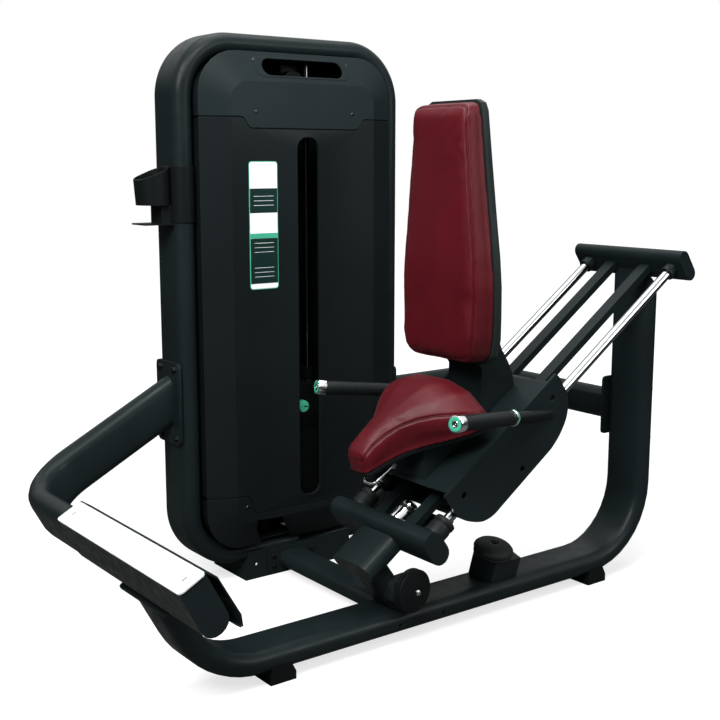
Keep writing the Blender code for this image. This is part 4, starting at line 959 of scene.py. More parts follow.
class GuideRails(Assembly):
    """Two inclined rails with a round rod each, their crossbars, buffers and end stop."""

    START, END, RADIUS = 0.0863, 1.1082, 0.013
    STOP_BELOW_RODS = 0.004

    def build(self) -> None:
        """Make the sub-assembly's pieces."""
        self.refine(Finishes.PAINT, "rack_rail_near", "rack_rail_far", "lower_crossbar", "upper_crossbar",
                    "support_beam", edge=0.0008)
        r, long = self.RADIUS, self.END - self.START
        rod = [(0, 0), (r - 0.0012, 0), (r, 0.0012), (r, long - 0.0012), (r - 0.0012, long), (0, long)]
        for tag, sign in SIDES:
            foot = self.shop.slope(self.START, ROD_HEIGHT, sign * ROD_SIDE)
            # The guide rods take the greyer chrome, whose dimmed reflections are painted shade.
            self.lathe(f"guide_rod_{tag}_dressed", rod, foot, SLOPE, Finishes.ROD_CHROME_SHADED,
                       f"guide_rod_{tag}", steps=64)
            self.buffer(tag, foot)
        self.stop()

    def buffer(self, tag: str, foot: Vector) -> None:
        """Rubber buffer with a waist and moulded beads."""
        profile = [(0.0133, 0), (0.0250, 0), (0.0265, 0.0008), (0.0270, 0.003), (0.0270, 0.029),
                   (0.0262, 0.0315), (0.0238, 0.0330), (0.0233, 0.0345), (0.0238, 0.0360),
                   (0.0262, 0.0375), (0.0270, 0.040), (0.0270, 0.047), (0.0262, 0.0492),
                   (0.0245, 0.050), (0.0133, 0.050)]
        self.lathe(f"buffer_{tag}_dressed", profile, foot, SLOPE, Finishes.RUBBER, f"buffer_{tag}",
                   steps=56)
        self.keep(self.shop.beads(f"buffer_{tag}_beads", foot + SLOPE * 0.010, SLOPE, 3, 0.0065, 0.0269,
                                  0.0006, Finishes.RUBBER), Finishes.RUBBER)

    def stop(self) -> None:
        """Chrome end stop between the rails, in two parts with a groove that a black band darkens as
        painted shade.
        """
        foot = self.shop.slope(self.START, ROD_HEIGHT - self.STOP_BELOW_RODS)
        profile = [(0, 0), (0.0240, 0), (0.0245, 0.001), (0.0245, 0.0370), (0.0235, 0.0385),
                   (0.0206, 0.0402), (0.0206, 0.0458), (0.0235, 0.0470), (0.0245, 0.0485),
                   (0.0245, 0.0590), (0.0235, 0.0615), (0.0200, 0.0645), (0.0180, 0.0650), (0, 0.0650)]
        self.lathe("end_stop_dressed", profile, foot, SLOPE, Finishes.CHROME, "end_stop", steps=64)
        # A black rubber band laid in the groove darkens it: painted shade of the groove.
        band = [(0.0200, 0.0404), (0.0208, 0.0404), (0.0208, 0.0456), (0.0200, 0.0456)]
        self.lathe("end_stop_band", band, foot, SLOPE, Finishes.RUBBER, steps=64)


class LowerSupports(Assembly):
    """Bumper on its corner box, and the pulley at the base."""

    LEAN, TURN = math.radians(16.0), math.radians(6.5)
    BOX_CORNER, INTO_BOX, BOX_TALL = (0.208, -0.050, 0.084), 0.0425, 0.0583
    SHEAVE_MIDDLE = (-0.110, -0.085, 0.142)
    BUMPER_HEAD, AXLE_HEAD = 0.0062, 0.0070

    def build(self) -> None:
        """Make the sub-assembly's pieces."""
        self.refine(Finishes.PAINT, "bumper_box", edge=0.0010)
        axis = Vector((0, -math.sin(self.LEAN), math.cos(self.LEAN)))
        back = Vector((0, math.cos(self.LEAN), math.sin(self.LEAN)))
        foot = self.shop.at(*self.BOX_CORNER) + back * self.INTO_BOX + axis * self.BOX_TALL
        dome = [(0, 0), (0.0440, 0), (0.0500, 0.0030), (0.0510, 0.005), (0.0510, 0.0100), (0.0488, 0.0115),
                (0.0475, 0.0128), (0.0488, 0.0142), (0.0522, 0.0158), (0.0530, 0.0178), (0.0520, 0.0215),
                (0.0475, 0.0262), (0.0400, 0.0305), (0.0300, 0.0340), (0.0200, 0.0362), (0.0125, 0.0370),
                (0.0106, 0.0366), (0.0100, 0.0350), (0.0100, 0.0330), (0, 0.0330)]
        self.lathe("bumper_pad_dressed", dome, foot, axis, Finishes.RUBBER, "bumper_pad", steps=72)
        self.heads("bumper_bolt", [(foot + axis * 0.0332, axis)], self.BUMPER_HEAD, "socket",
                   Finishes.PAINT_DARK)
        self.sheave()

    def sheave(self) -> None:
        """Coned sheave with a machined groove, and the bolt of its axle."""
        axle = Vector((math.sin(self.TURN), -math.cos(self.TURN), 0))
        middle = self.shop.at(*self.SHEAVE_MIDDLE)
        profile = [(0.0045, -0.0130), (0.0500, -0.0130), (0.0532, -0.0122), (0.0540, -0.0108),
                   (0.0540, -0.0085), (0.0530, -0.0074), (0.0455, -0.0036), (0.0440, -0.0020),
                   (0.0455, -0.0002), (0.0530, 0.0033), (0.0540, 0.0045), (0.0540, 0.0066),
                   (0.0530, 0.0080), (0.0500, 0.0090), (0.0190, 0.0182), (0.0165, 0.0185),
                   (0.0108, 0.0185), (0.0103, 0.0180), (0.0100, 0.0130), (0.0045, 0.0130)]
        self.lathe("base_sheave_dressed", profile, middle, axle, Finishes.BLACK, "base_sheave", steps=80,
                   body=Body.BASE_PULLEY)
        self.heads("base_sheave_bolt", [(middle + axle * 0.0168, axle)], self.AXLE_HEAD)


class WeightTower(Assembly):
    """Tower ring with its covers, panels, top pulley and hanger."""

    EDGE = 0.0014
    WIDTH, LOW, TOP = 0.730, 0.0506, 1.500
    TUBE_WIDE, TUBE_THIN, BEND = 0.136, 0.056, 0.167
    COVER_SCREWS = ((-0.1663, 0.512, 1.4328), (0.1351, 0.512, 1.431), (-0.1741, 0.494, 1.2960),
                    (0.1385, 0.494, 1.2960))
    KICK_SCREWS = ((-0.2201, 0.4944, 0.2300), (0.1821, 0.4944, 0.2300))
    SCREW_HEAD = 0.0050
    SLOT_X, SLOT_Z = -0.0155, 1.413

    def build(self) -> None:
        """Make the sub-assembly's pieces."""
        self.ring()
        self.refine(Finishes.COVER, "upper_cover", edge=self.EDGE)
        skin = skin_of(self.pieces[-1])
        self.refine(Finishes.PANEL, "lower_panel", "kick_panel", "rear_panel", edge=self.EDGE)
        self.refine(Finishes.PAINT_DARK, "top_hanger", edge=0.0008)
        self.refine(Finishes.BLACK, "top_sheave", edge=0.0005)
        self.screws(skin)
        self.bezel(skin)

    def ring(self) -> None:
        """Bent flat-oval ring that the tower hangs on."""
        half = self.TUBE_THIN / 2
        x0, x1 = TOWER_X - self.WIDTH / 2 + half, TOWER_X + self.WIDTH / 2 - half
        z0, z1 = self.LOW + half, self.TOP - half
        corners = [self.shop.at(x, TOWER_Y, z)
                   for x, z in ((TOWER_X, z0), (x1, z0), (x1, z1), (x0, z1), (x0, z0))]
        ring = self.shop.grown("tower_ring_dressed", bent_tube_tree, self.shop.path(corners, closed=True),
                               Finishes.PAINT, Bend_Radius=self.BEND - half, Bend_Steps=24,
                               Width=self.TUBE_WIDE, Thickness=self.TUBE_THIN,
                               Flat_Normal=(0.0, 1.0, 0.0))
        self.keep(self.shop.smoothed(ring, 40.0), Finishes.PAINT, "tower_ring")

    def screws(self, skin: BVHTree) -> None:
        """Screws on the cover's skin and on the kick panel."""
        at = self.shop.at
        cover = [skin.find_nearest(at(*place))[:2] for place in self.COVER_SCREWS]
        kick = [(at(*place), -Y_AXIS) for place in self.KICK_SCREWS]
        self.heads("cover_screws", cover, self.SCREW_HEAD, "dome", Finishes.OXIDE)
        self.heads("kick_panel_screws", kick, self.SCREW_HEAD, "dome", Finishes.OXIDE)

    def bezel(self, skin: BVHTree) -> None:
        """Moulded lip that lines the hand slot in the sloping head of the cover."""
        shop, x, z = self.shop, self.SLOT_X, self.SLOT_Z
        place, way = skin.find_nearest(shop.at(x, 0.512, 1.449))[:2]
        middle = Vector((shop.at(x, 0, 0).x, place.y - way.z * (z - place.z) / way.y, z))
        up = way.cross(X_AXIS)
        lip = shop.pushed("hand_slot_lip", rounded_outline(-0.1540, 0.1540, -0.0290, 0.0290, 0.0288, 10),
                          middle - way * 0.0040, X_AXIS, up, 0.0052, Finishes.COVER)
        hole = shop.pushed("hole", rounded_outline(-0.1300, 0.1300, -0.0238, 0.0238, 0.0237, 10),
                           middle - way * 0.0200, X_AXIS, up, 0.04, Finishes.COVER)
        self.keep(shop.eased(shop.cut(lip, hole), 0.0010, 40.0), Finishes.COVER)


class Placard(Assembly):
    """Bare instruction card on the tower's face: plain fields, a border and fine rules."""

    LEFT, RIGHT, LOW, HIGH = -0.2015, -0.1118, 0.8284, 1.1680
    FACE = 0.4942
    BORDER, CORNER, SHARP_CORNER = 0.0022, 0.009, 0.0004
    RULES = (0.862, 0.874, 0.886, 0.928, 0.940, 0.952, 1.052, 1.064, 1.076)

    def build(self) -> None:
        """Lay the card's plain layers on the face, one on the other."""
        b, sharp = self.BORDER, self.SHARP_CORNER
        x0, x1 = self.LEFT + b, self.RIGHT - b
        edge = [(self.LEFT, self.RIGHT, self.LOW, self.HIGH, self.CORNER)]
        card = [(x0, x1, self.LOW + b, self.HIGH - b, self.CORNER - b)]
        fields = [(x0, x1, 1.0324, 1.0969, sharp), (x0, x1, 0.8440, 0.9649, sharp)]
        rules = [(x0 + 0.012, x1 - 0.012, z, z + 0.0009, 0.0002) for z in self.RULES]
        self.layer("placard_border", edge, 0, 0.0008, Finishes.MINT)
        self.layer("placard_card", card, 0.0008, 0.0003, Finishes.CARD_WHITE)
        self.layer("placard_fields", fields, 0.0011, 0.0003, Finishes.CARD_DARK)
        self.layer("placard_stripe", [(x0, x1, 0.9653, 0.9784, sharp)], 0.0011, 0.0003, Finishes.MINT)
        self.layer("placard_rules", rules, 0.0014, 0.0002, Finishes.CARD_WHITE)

    def layer(self, name: str, boxes: Sequence[Sequence[float]], rise: float, thick: float,
              finish: Finish) -> None:
        """One layer of rectangles with round corners, as one piece that rises from the face."""
        shop, bm = self.shop, bmesh.new()
        base = shop.at(0, self.FACE - rise, 0)
        for box in boxes:
            part = shop.pushed(name, rounded_outline(*box), base, X_AXIS, Z_AXIS, thick, finish)
            bm.from_mesh(part.data)
            shop.drop(part)
        self.keep(shop.from_bmesh(name, bm, finish, turn_out=False), finish)


class WeightStack(Assembly):
    """Stack plates, head plate with its selector rod, the pin and two guide rods."""

    PLATES = 7
    FOOT, PIN_FACE, PIN_HEIGHT = 0.1069, 0.5114, 0.4846
    ROD_FROM_MIDDLE, ROD_RADIUS, ROD_LONG = 0.080, 0.009, 1.3368

    def build(self) -> None:
        """Make the sub-assembly's pieces."""
        names = [f"weight_plate_{k}" for k in range(1, self.PLATES + 1)]
        self.refine(Finishes.IRON, *names, "head_plate", edge=0.0012)
        self.refine(Finishes.CHROME, "selector_rod", edge=0.0004)
        r, long = self.ROD_RADIUS, self.ROD_LONG
        rod = [(0, 0), (r, 0), (r, long - 0.001), (r - 0.001, long), (0, long)]
        collar = [(0.0091, 0.012), (0.0230, 0.012), (0.0240, 0.013), (0.0240, 0.0514), (0.0230, 0.0524),
                  (0.0091, 0.0524)]
        for tag, sign in (("left", -1), ("right", 1)):
            foot = self.shop.at(TOWER_X + sign * self.ROD_FROM_MIDDLE, TOWER_Y, self.FOOT)
            # The stack rods take the darkest chrome, which is painted shade of the tower's dark inside.
            self.lathe(f"stack_rod_{tag}_dressed", rod, foot, Z_AXIS, Finishes.STACK_ROD_SHADED,
                       f"stack_rod_{tag}", steps=40)
            self.lathe(f"stack_stop_{tag}", collar, foot, Z_AXIS, Finishes.RUBBER)
        self.pin()

    def pin(self) -> None:
        """Selector pin: mint knob with a dark pointer, on a plated shank."""
        foot = self.shop.at(TOWER_X, self.PIN_FACE, self.PIN_HEIGHT)
        knob = [(0, 0), (0.0135, 0), (0.0158, 0.0008), (0.0168, 0.0028), (0.0170, 0.005), (0.0170, 0.017),
                (0.0165, 0.019), (0.0150, 0.0212), (0.0130, 0.022), (0, 0.022)]
        shank = [(0, 0.0218), (0.0045, 0.0218), (0.0045, 0.104), (0.0036, 0.105), (0, 0.105)]
        arrow = rounded_outline(-0.0015, 0.0120, -0.0016, 0.0016, 0.0010)
        self.lathe("selector_knob", knob, foot, Y_AXIS, Finishes.MINT, "selector_pin", body=Body.PIN)
        self.lathe("selector_shank", shank, foot, Y_AXIS, Finishes.CHROME, steps=32, body=Body.PIN)
        pointer = self.shop.pushed("selector_pointer", arrow, foot + Y_AXIS * 0.0002, X_AXIS, Z_AXIS,
                                   0.0007, Finishes.BLACK)
        self.keep(pointer, Finishes.BLACK, body=Body.PIN)


class CupHolder(Assembly):
    """Cup holder and its clamp on the tower."""

    def build(self) -> None:
        """Make the sub-assembly's pieces."""
        self.refine(Finishes.BLACK, "cup_clamp", "cup_holder", edge=0.0013)


class Carriage(Assembly):
    """Seat carriage: side plates, bearing tubes, deck and brackets."""

    body = Body.CARRIAGE
    START, LENGTH = 0.176, 0.400
    SIDE_PLATES = (("near", -0.164), ("far", 0.172))    # where their far faces lie
    THICK = 0.008
    BORES = ((0.553, 0.329), (0.377, 0.249), (0.201, 0.331))
    BORE_RADIUS = 0.0085
    BELLY_REACH = 0.1679    # from the middle into a side plate
    GAP = 0.0002    # half of what parts the belly's halves

    def build(self) -> None:
        """Make the sub-assembly's pieces."""
        self.refine(Finishes.PAINT, "carriage_deck", "seat_bracket", "back_post", edge=0.0010)
        for tag, y in self.SIDE_PLATES:
            self.plate(tag, y)
        long = self.LENGTH
        tube = [(0.0134, 0.0012), (0.0172, 0.0012), (0.0187, 0.0030), (0.0187, long - 0.003),
                (0.0172, long - 0.0012), (0.0134, long - 0.0012)]
        for tag, sign in SIDES:
            foot = self.shop.slope(self.START, ROD_HEIGHT, sign * ROD_SIDE)
            self.lathe(f"bearing_tube_{tag}_dressed", tube, foot, SLOPE, Finishes.PAINT,
                       f"bearing_tube_{tag}", steps=56)
            for end, h in (("low", 0.0), ("high", long - 0.0014)):
                lip = [(0.0136, h), (0.0160, h), (0.0160, h + 0.0014), (0.0136, h + 0.0014)]
                self.lathe(f"bearing_seal_{tag}_{end}", lip, foot, SLOPE, Finishes.BLACK)

    def plate(self, tag: str, y: float) -> None:
        """Side plate with smooth corners and bored holes, and its half of the belly.

        Args:
            tag: "near" or "far".
            y: Where the plate's far face lies.
        """
        shop, finish = self.shop, Finishes.PAINT
        nose = blended([(0.157, 0.302), (0.172, 0.272), (0.205, 0.236), (0.240, 0.222), (0.275, 0.221)])
        tail = blended([(0.480, 0.222), (0.520, 0.231), (0.560, 0.250), (0.586, 0.276), (0.600, 0.305)])
        inner = blended([(0.275, 0.2240), (0.2410, 0.2250), (0.2070, 0.2384), (0.1745, 0.2740)])
        outline = [(0.154, 0.368)] + nose + tail + [(0.600, 0.360), (0.596, 0.372), (0.158, 0.372)]
        r = self.BORE_RADIUS
        bore = [(0, -0.02), (r, -0.02), (r, 0.02), (0, 0.02)]
        plate = shop.pushed(f"carriage_plate_{tag}_dressed", outline, shop.slope(0, 0, y), SLOPE, SLOPE_UP,
                            self.THICK, finish)
        for s, h in self.BORES:
            shop.cut(plate, shop.turned("bore", bore, shop.slope(s, h, y), Y_AXIS, finish, 32))
        self.keep(shop.eased(plate, 0.0009), finish, f"carriage_plate_{tag}")
        band = nose[6:] + [(0.480, 0.222), (0.480, 0.225)] + inner
        start = shop.slope(0, 0, self.BELLY_REACH if y > 0 else -self.GAP)
        self.keep(shop.pushed(f"carriage_belly_{tag}", band, start, SLOPE, SLOPE_UP,
                              self.BELLY_REACH - self.GAP, finish), finish)


class Cushion(Assembly):
    """A filled cushion with a pressed seam, piping and stitches."""

    body = Body.CARRIAGE
    RIM = (0, 1, 2, 3)    # points of a row that lie on the flat side
    FILL, SWELL, VOXEL = 0.85, 0.006, 0.005
    SEAM_REACH, SEAM_DEPTH = 0.007, 0.0032
    PIPE, STITCH, BESIDE = 0.0017, 0.0062, 0.0075

    def rings(self) -> list[list[Vector]]:
        """Rows of points through the cushion."""
        raise NotImplementedError

    def seam(self) -> list[Vector]:
        """Closed line of the seam."""
        raise NotImplementedError

    def sewn(self, node: str, base: Vector) -> None:
        """Swell the cushion, press its seam and sew piping and stitches along it.

        Args:
            node: CAD node that the cushion stands for.
            base: Direction of the flat side.
        """
        shop = self.shop
        cage = shop.cage(node + "_dressed", self.rings(), self.RIM, Finishes.HIDE)
        form = shop.skin("form", self.rings(), Finishes.HIDE)
        pad = shop.stuffed(cage, form, base, self.VOXEL, self.SWELL, self.FILL)
        line = shop.seamed(pad, self.seam(), self.SEAM_REACH, self.SEAM_DEPTH)
        shop.dress(pad, Finishes.HIDE)
        self.keep(pad, Finishes.HIDE, node)
        piping = shop.grown(node + "_piping", piping_tree, shop.path(line, closed=True), Finishes.PIPING,
                            Radius=self.PIPE, Sides=10)
        thread = shop.turned("thread", [(0, -0.0018), (0.0004, -0.0014), (0.0005, 0), (0.0004, 0.0014),
                                        (0, 0.0018)], ZERO, Z_AXIS, Finishes.PIPING, 6)
        row = shop.path(self.beside(pad, line), closed=True)
        stitches = shop.grown(node + "_stitches", stitch_tree, row, Finishes.PIPING, Pitch=self.STITCH,
                              Thread=thread)
        shop.drop(thread)
        self.keep(piping, Finishes.PIPING)
        self.keep(stitches, Finishes.PIPING)

    def beside(self, pad: Obj, line: Sequence[Vector]) -> list[Vector]:
        """The seam line moved towards the cushion's middle and laid on its skin."""
        middle = sum(line, ZERO) / len(line)
        skin = skin_of(pad)
        near = (skin.find_nearest(p + (middle - p).normalized() * self.BESIDE)[:2] for p in line[::3])
        return [place + way * 0.0003 for place, way in near]


class SeatPad(Cushion):
    """Saddle-shaped seat pad on its board."""

    NOSE = (-0.218, 0, 0.436)    # underside of the nose
    ALONG, UP = tilted(21.5)
    # distance from the nose, half width, side height and crown height
    STATIONS = ((-0.002, 0.017, 0.019, 0.027), (0.002, 0.029, 0.031, 0.041), (0.010, 0.038, 0.043, 0.052),
                (0.023, 0.042, 0.050, 0.060), (0.045, 0.043, 0.058, 0.067), (0.085, 0.049, 0.066, 0.078),
                (0.120, 0.061, 0.071, 0.087), (0.155, 0.085, 0.074, 0.099), (0.190, 0.117, 0.072, 0.109),
                (0.225, 0.147, 0.064, 0.114), (0.260, 0.164, 0.053, 0.114), (0.290, 0.167, 0.042, 0.108),
                (0.312, 0.156, 0.031, 0.094), (0.326, 0.138, 0.021, 0.070), (0.332, 0.120, 0.012, 0.040))

    def build(self) -> None:
        """Make the sub-assembly's pieces."""
        self.sewn("seat_pad", -self.UP)
        self.refine(Finishes.BLACK, "seat_board", edge=0.0010)

    def point(self, d: float, y: float, h: float) -> Vector:
        """A point by its distance behind the underside of the nose, its side and its height."""
        return self.shop.at(*self.NOSE) + self.ALONG * d + Y_AXIS * y + self.UP * h

    def rings(self) -> list[list[Vector]]:
        """Rows of points through the cushion."""
        rows = []
        for d, w, side, crown in self.STATIONS:
            shoulder = side + (crown - side) * 0.68
            shape = ((-1.0, 0), (-0.4, 0), (0.4, 0), (1.0, 0), (1.04, side * 0.45), (1.02, side * 0.80),
                     (0.95, side * 1.02), (0.72, shoulder), (0.30, crown * 1.01), (-0.30, crown * 1.01),
                     (-0.72, shoulder), (-0.95, side * 1.02), (-1.02, side * 0.80), (-1.04, side * 0.45))
            rows.append([self.point(d, a * w, b) for a, b in shape])
        return rows

    def seam(self) -> list[Vector]:
        """Closed line between the crowned top and the bulged side."""
        near, far = ([self.point(d, sign * 0.97 * w, side + 0.001) for d, w, side, _ in self.STATIONS[1:-1]]
                     for _, sign in SIDES)
        nose = [self.point(0.001, y, 0.033) for y in (0.015, -0.015)]
        tail = [self.point(0.334, y, 0.024) for y in (-0.06, 0.06)]
        return near + tail + far[::-1] + nose


class BackRest(Cushion):
    """Tapered back pad in front of its moulded shell."""

    VOXEL = 0.006
    FRONT, LOW, HEIGHT = 0.027, 0.690, 0.622
    # height, half width and how full the pad is there
    STATIONS = ((0.677, 0.082, 0.62), (0.681, 0.106, 0.80), (0.701, 0.128, 0.96), (0.742, 0.138, 1.0),
                (0.800, 0.141, 1.0), (0.870, 0.143, 1.0), (0.940, 0.139, 1.0), (1.044, 0.127, 1.0),
                (1.180, 0.113, 1.0), (1.285, 0.103, 1.0), (1.304, 0.096, 0.90), (1.312, 0.080, 0.62))

    def build(self) -> None:
        """Make the sub-assembly's pieces."""
        self.sewn("back_pad", X_AXIS)
        self.shell()

    def face(self, z: float, thick: float, taper: float) -> float:
        """Where a flat face behind the pad's front lies at a height."""
        return self.FRONT + thick - taper * (z - self.LOW) / self.HEIGHT

    def rear(self, z: float) -> float:
        """Where the pad's flat rear lies at a height."""
        return self.face(z, 0.069, 0.021)

    def rings(self) -> list[list[Vector]]:
        """Rows of points through the cushion."""
        shape = ((-1.0, 0.0), (-0.5, 0.0), (0.5, 0.0), (1.0, 0.0), (1.03, 0.45), (1.03, 0.84),
                 (0.995, 0.99), (0.82, 1.04), (0.30, 1.06), (-0.30, 1.06), (-0.82, 1.04),
                 (-0.995, 0.99), (-1.03, 0.84), (-1.03, 0.45))
        rows = []
        for z, w, full in self.STATIONS:
            rear = self.rear(z)
            thick = (rear - self.FRONT) * full
            rows.append([self.shop.at(rear - thick * b, a * w, z) for a, b in shape])
        return rows

    def seam(self) -> list[Vector]:
        """Closed line a little inside the rim of the front face."""
        at = self.shop.at
        near, far = ([at(0.025, sign * 0.955 * w, z) for z, w, _ in self.STATIONS[2:-1]]
                     for _, sign in SIDES)
        top = [at(0.030, y, 1.306) for y in (-0.055, 0.0, 0.055)]
        low = [at(0.030, y, 0.690) for y in (0.060, 0.0, -0.060)]
        return near + top + far[::-1] + low

    def shell(self) -> None:
        """Moulded shell behind the pad, with full rear corners."""
        shape = ((-1.0, 0.0), (1.0, 0.0), (1.0, 0.78), (0.978, 0.95), (0.93, 1.0), (-0.93, 1.0),
                 (-0.978, 0.95), (-1.0, 0.78))
        rows = []
        for z, w, full in self.STATIONS:
            rear = self.rear(z) + 0.0003
            deep = (self.face(z, 0.095, 0.025) - rear) * (full * 0.5 + 0.5)
            rows.append([self.shop.at(rear + deep * b, a * w, z) for a, b in shape])
        shell = self.shop.skin("back_shell_dressed", rows, Finishes.SHELL)
        self.keep(self.shop.eased(shell, 0.0012), Finishes.SHELL, "back_shell")


class HandGrips(Assembly):
    """Two hand bars with ribbed rubber sleeves and mint and chrome ends."""

    body = Body.CARRIAGE
    PLATE_SIDE = 0.1723
    ROOT = (0.503, 0.318)    # along the slope and square to it
    TIP_X, TIP_SIDE, TIP_HEIGHT = -0.146, 0.269, 0.594
    CAP_LONG, CAP_RADIUS, SLEEVE_LONG = 0.0235, 0.0205, 0.216

    def build(self) -> None:
        """Make the sub-assembly's pieces."""
        for tag, sign in SIDES:
            self.bar(tag, sign, self.shop.slope(*self.ROOT, sign * self.PLATE_SIDE),
                     self.shop.at(self.TIP_X, sign * self.TIP_SIDE, self.TIP_HEIGHT))

    def bar(self, tag: str, sign: float, root: Vector, tip: Vector) -> None:
        """One hand bar with its sleeve, ring and cap.

        Args:
            tag: "near" or "far".
            sign: Side of the machine along Y.
            root: Where the bar leaves the carriage plate.
            tip: Middle of its end face.
        """
        shop, finish, long = self.shop, Finishes.PAINT_DARK, self.SLEEVE_LONG
        way, length = (tip - root).normalized(), (tip - root).length
        bare = length - self.CAP_LONG - long - 0.016
        core = [(0, -0.03), (0.0131, -0.03), (0.0131, bare - 0.003), (0.0115, bare),
                (0.0115, length - 0.012), (0, length - 0.012)]
        bar = shop.turned(f"hand_bar_{tag}_dressed", core, root, way, finish, 48, TURNED_ANGLE)
        low, high = sorted((sign * self.PLATE_SIDE, -sign))
        shop.cut(bar, shop.pushed("block", [(-1, 0.1), (1.2, 0.1), (1.2, 1.1), (-1, 1.1)],
                                  shop.at(0, high, 0), X_AXIS, Z_AXIS, high - low, finish))
        self.keep(shop.smoothed(bar, TURNED_ANGLE), finish, f"hand_bar_{tag}")
        self.cap(tag, root + way * (length - self.CAP_LONG), way)
        start = root + way * (length - self.CAP_LONG - 0.0003 - long)
        sleeve = [(0.0118, 0), (0.0150, 0), (0.0168, 0.0015), (0.0175, 0.005), (0.0175, long - 0.005),
                  (0.0168, long - 0.0015), (0.0150, long), (0.0118, long)]
        self.lathe(f"grip_{tag}_dressed", sleeve, start, way, Finishes.SLEEVE, f"grip_{tag}", steps=56)
        self.keep(shop.beads(f"grip_{tag}_ribs", start + way * 0.012, way, 33, 0.006, 0.0173, 0.0007,
                             Finishes.SLEEVE), Finishes.SLEEVE)
        ring = start - way * 0.0098
        mint = [(0.0112, 0), (0.0195, 0), (0.0205, 0.001), (0.0205, 0.0048), (0.0112, 0.0048)]
        plated = [(0.0112, 0.0050), (0.0205, 0.0050), (0.0205, 0.0085), (0.0195, 0.0095), (0.0112, 0.0095)]
        self.lathe(f"ring_{tag}_mint", mint, ring, way, Finishes.MINT)
        self.lathe(f"ring_{tag}_chrome", plated, ring, way, Finishes.CHROME)

    def cap(self, tag: str, end: Vector, way: Vector) -> None:
        """Chrome cap with a mint face ring, a chrome hub and a hole whose black floor is painted shade."""
        r, h = self.CAP_RADIUS, self.CAP_LONG
        band = [(0.0100, 0), (r - 0.001, 0), (r, 0.001), (r, h - 0.0035), (r - 0.0012, h - 0.0012),
                (r - 0.0030, h - 0.0004), (0.0100, h - 0.0004)]
        mint = [(0.0085, h - 0.0030), (0.0168, h - 0.0030), (0.0168, h - 0.0004), (0.0160, h), (0.0092, h),
                (0.0085, h - 0.0004)]
        hub = [(0.0052, h - 0.0040), (0.0084, h - 0.0040), (0.0084, h - 0.0004), (0.0078, h), (0.0058, h),
               (0.0052, h - 0.0006)]
        # A black disc at the floor of the hole darkens it: painted shade.
        hole = [(0, h - 0.0060), (0.0100, h - 0.0060), (0.0100, h - 0.0042), (0, h - 0.0042)]
        for name, profile, finish, steps in (("band", band, Finishes.CHROME, 64),
                                             ("mint", mint, Finishes.MINT, 56),
                                             ("hub", hub, Finishes.CHROME, 48),
                                             ("hole", hole, Finishes.BLACK, 40)):
            self.lathe(f"cap_{tag}_{name}", profile, end, way, finish, steps=steps)
        self.heads(f"cap_{tag}_screw", [(end + way * (h - 0.0043), way)], 0.0024, "dome", Finishes.CHROME)


class ReleaseLever(Assembly):
    """Chrome release lever under the seat."""

    body = Body.LEVER
    PIVOT, FRONT = (-0.122, 0, 0.443), (-0.182, 0, 0.406)
    HALF, THICK, BEND = 0.021, 0.009, 0.012

    def build(self) -> None:
        """Make the sub-assembly's pieces."""
        pivot, front = self.shop.at(*self.PIVOT), self.shop.at(*self.FRONT)
        side = Y_AXIS * self.HALF
        seed = self.shop.path([pivot - side, front - side, front + side, pivot + side])
        bar = self.shop.grown("release_lever_dressed", bent_tube_tree, seed, Finishes.CHROME,
                              Bend_Radius=self.BEND, Bend_Steps=10, Width=self.THICK + 0.00004,
                              Thickness=self.THICK,
                              Flat_Normal=tuple((front - pivot).cross(Y_AXIS).normalized()))
        self.keep(self.shop.smoothed(bar, 60.0), Finishes.CHROME, "release_lever")
        axle = [(0, -0.026), (0.0036, -0.026), (0.0042, -0.0254), (0.0042, 0.0254), (0.0036, 0.026),
                (0, 0.026)]
        self.lathe("release_lever_axle", axle, pivot, Y_AXIS, Finishes.CHROME, steps=32)
        for tag, sign in SIDES:
            y = sign * self.HALF
            collar = [(0, y - 0.0044), (0.0062, y - 0.0044), (0.0066, y - 0.004), (0.0066, y + 0.004),
                      (0.0062, y + 0.0044), (0, y + 0.0044)]
            self.lathe(f"release_lever_collar_{tag}", collar, pivot, Y_AXIS, Finishes.CHROME, steps=32)


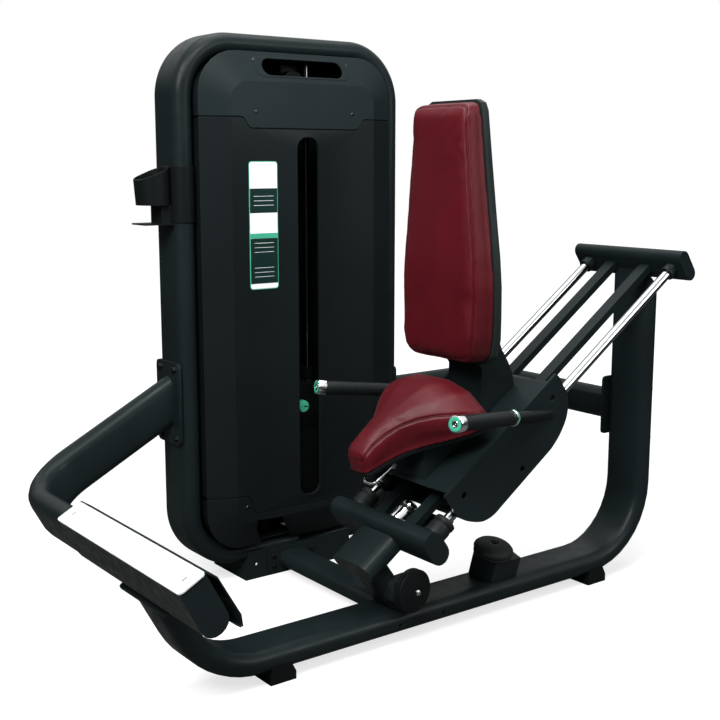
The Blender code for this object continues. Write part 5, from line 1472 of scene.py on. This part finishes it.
class Studio:
    """Pale floor and backdrop, soft lamps and the camera."""

    CAMERA_PLACE = (-1.80884, -2.1368, 1.167)
    CAMERA_TURN = (80.243, 0.0, -36.87)
    LENS, SENSOR = 57.7, 36.0
    GLOW, AMBIENT = 0.72, 0.22
    FLOOR_REACH = 14.0
    # name, place, size and power
    LAMPS = (("key", (-2.5, -1.4, 2.9), 1.6, 150.0), ("high_front", (-0.5, -1.3, 2.8), 1.0, 40.0),
             ("right_front", (1.8, -3.2, 2.2), 1.6, 45.0), ("top", (0.2, 0.2, 3.6), 2.2, 65.0))

    def __init__(self, shop: Workshop) -> None:
        """Set the studio up round the machine."""
        self.shop = shop
        self.floor()
        self.world()
        for lamp in self.LAMPS:
            self.lamp(*lamp)
        self.camera()

    def camera(self) -> None:
        """The photo's camera, and how its picture is shown."""
        scene = bpy.context.scene
        data = bpy.data.cameras.new("camera")
        data.lens, data.sensor_width = self.LENS, self.SENSOR
        camera = bpy.data.objects.new("camera", data)
        camera.location = self.shop.at(*self.CAMERA_PLACE)
        camera.rotation_euler = tuple(math.radians(a) for a in self.CAMERA_TURN)
        scene.collection.objects.link(camera)
        scene.camera = camera
        scene.view_settings.view_transform = "Standard"

    def floor(self) -> None:
        """A wide plain floor that keeps a pale shadow and turns white in the distance."""
        reach = self.FLOOR_REACH
        data = bpy.data.meshes.new("floor")
        data.from_pydata([(-reach, -reach, 0), (reach, -reach, 0), (reach, reach, 0), (-reach, reach, 0)],
                         [], [(0, 1, 2, 3)])
        floor = self.shop.link("floor", data)
        bench = ShaderBench("floor_paper")
        tone = bench.tint(bench.noise(1.2, 2.0), (0.36, 0.36, 0.36), (0.38, 0.38, 0.38))
        bench.fill(bench.shader, {"Base_Color": tone, "Roughness": 0.9, "Specular_IOR_Level": 0.0})
        far = bench.node("ShaderNodeVectorMath", bench.coords, operation="LENGTH").outputs["Value"]
        glow = bench.node("ShaderNodeEmission", Strength=bench.span(far, self.GLOW, 1.0, 1.3, 3.4))
        lit = bench.node("ShaderNodeAddShader", bench.shader, glow)
        plain, dim = (bench.node("ShaderNodeBsdfDiffuse", Color=(grey, grey, grey, 1))
                      for grey in (0.35, 0.09))
        rays = bench.node("ShaderNodeLightPath").outputs
        under = bench.node("ShaderNodeMixShader", rays["Is Glossy Ray"], plain, dim)
        seen = bench.node("ShaderNodeMath", rays["Is Camera Ray"], rays["Is Transmission Ray"],
                          operation="MAXIMUM")
        bench.end(bench.node("ShaderNodeMixShader", seen, under, lit))
        data.materials.append(bench.material)
        floor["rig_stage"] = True

    def world(self) -> None:
        """White to the eye, soft grey as light; in reflections dark at the horizon, bright overhead."""
        world = bpy.data.worlds.new("studio")
        world.use_nodes = True
        bench = NodeBench(world.node_tree)
        last = bench.fill(bench.tree.nodes["Background"], {"Color": (0.92, 0.96, 1.0, 1),
                                                          "Strength": self.AMBIENT})
        way = bench.node("ShaderNodeSeparateXYZ", bench.node("ShaderNodeTexCoord").outputs["Generated"])
        level = bench.node("ShaderNodeMapRange", way.outputs["Z"], 0.12, 0.55, 0.05, 1.05,
                           interpolation_type="SMOOTHSTEP")
        screens, white = (bench.node("ShaderNodeBackground", Color=(1, 1, 1, 1), Strength=strength)
                          for strength in (level, 1.0))
        rays = bench.node("ShaderNodeLightPath").outputs
        for name, other in (("Is Glossy Ray", screens), ("Is Transmission Ray", white),
                            ("Is Camera Ray", white)):
            last = bench.node("ShaderNodeMixShader", rays[name], last, other)
        bench.fill(bench.tree.nodes["World Output"], {"Surface": last})
        bpy.context.scene.world = world

    def lamp(self, name: str, place: Sequence[float], size: float, power: float) -> None:
        """A soft square lamp that looks at the machine."""
        data = bpy.data.lights.new(name, "AREA")
        data.size, data.energy = size, power
        lamp = bpy.data.objects.new(name, data)
        lamp.location = place
        lamp.rotation_euler = (Vector((0, 0, 0.7)) - Vector(place)).to_track_quat("-Z", "Y").to_euler()
        bpy.context.scene.collection.objects.link(lamp)


def write_sizes(shop: Workshop) -> None:
    """Gather the CAD model's box and the finished model's box; they are not written anywhere."""
    low, high = shop.start_bounds
    new_low, new_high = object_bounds()
    {"cad": [list(low), list(high)], "visual": [list(new_low), list(new_high)]}


def main() -> None:
    """Build the machine in order and light it."""
    logging.basicConfig(level=logging.INFO, format="%(relativeCreated)6.0f %(message)s")
    shop = Workshop()
    for kind in (BaseFrame, FootPlatform, GuideRails, LowerSupports, WeightTower, Placard, WeightStack,
                 CupHolder, Carriage, SeatPad, BackRest, HandGrips, ReleaseLever):
        assembly = kind(shop)
        assembly.build()
        LOG.info("%s: %d pieces", kind.__name__, len(assembly.pieces))
    Studio(shop)
    write_sizes(shop)


if __name__ == "__main__":
    main()
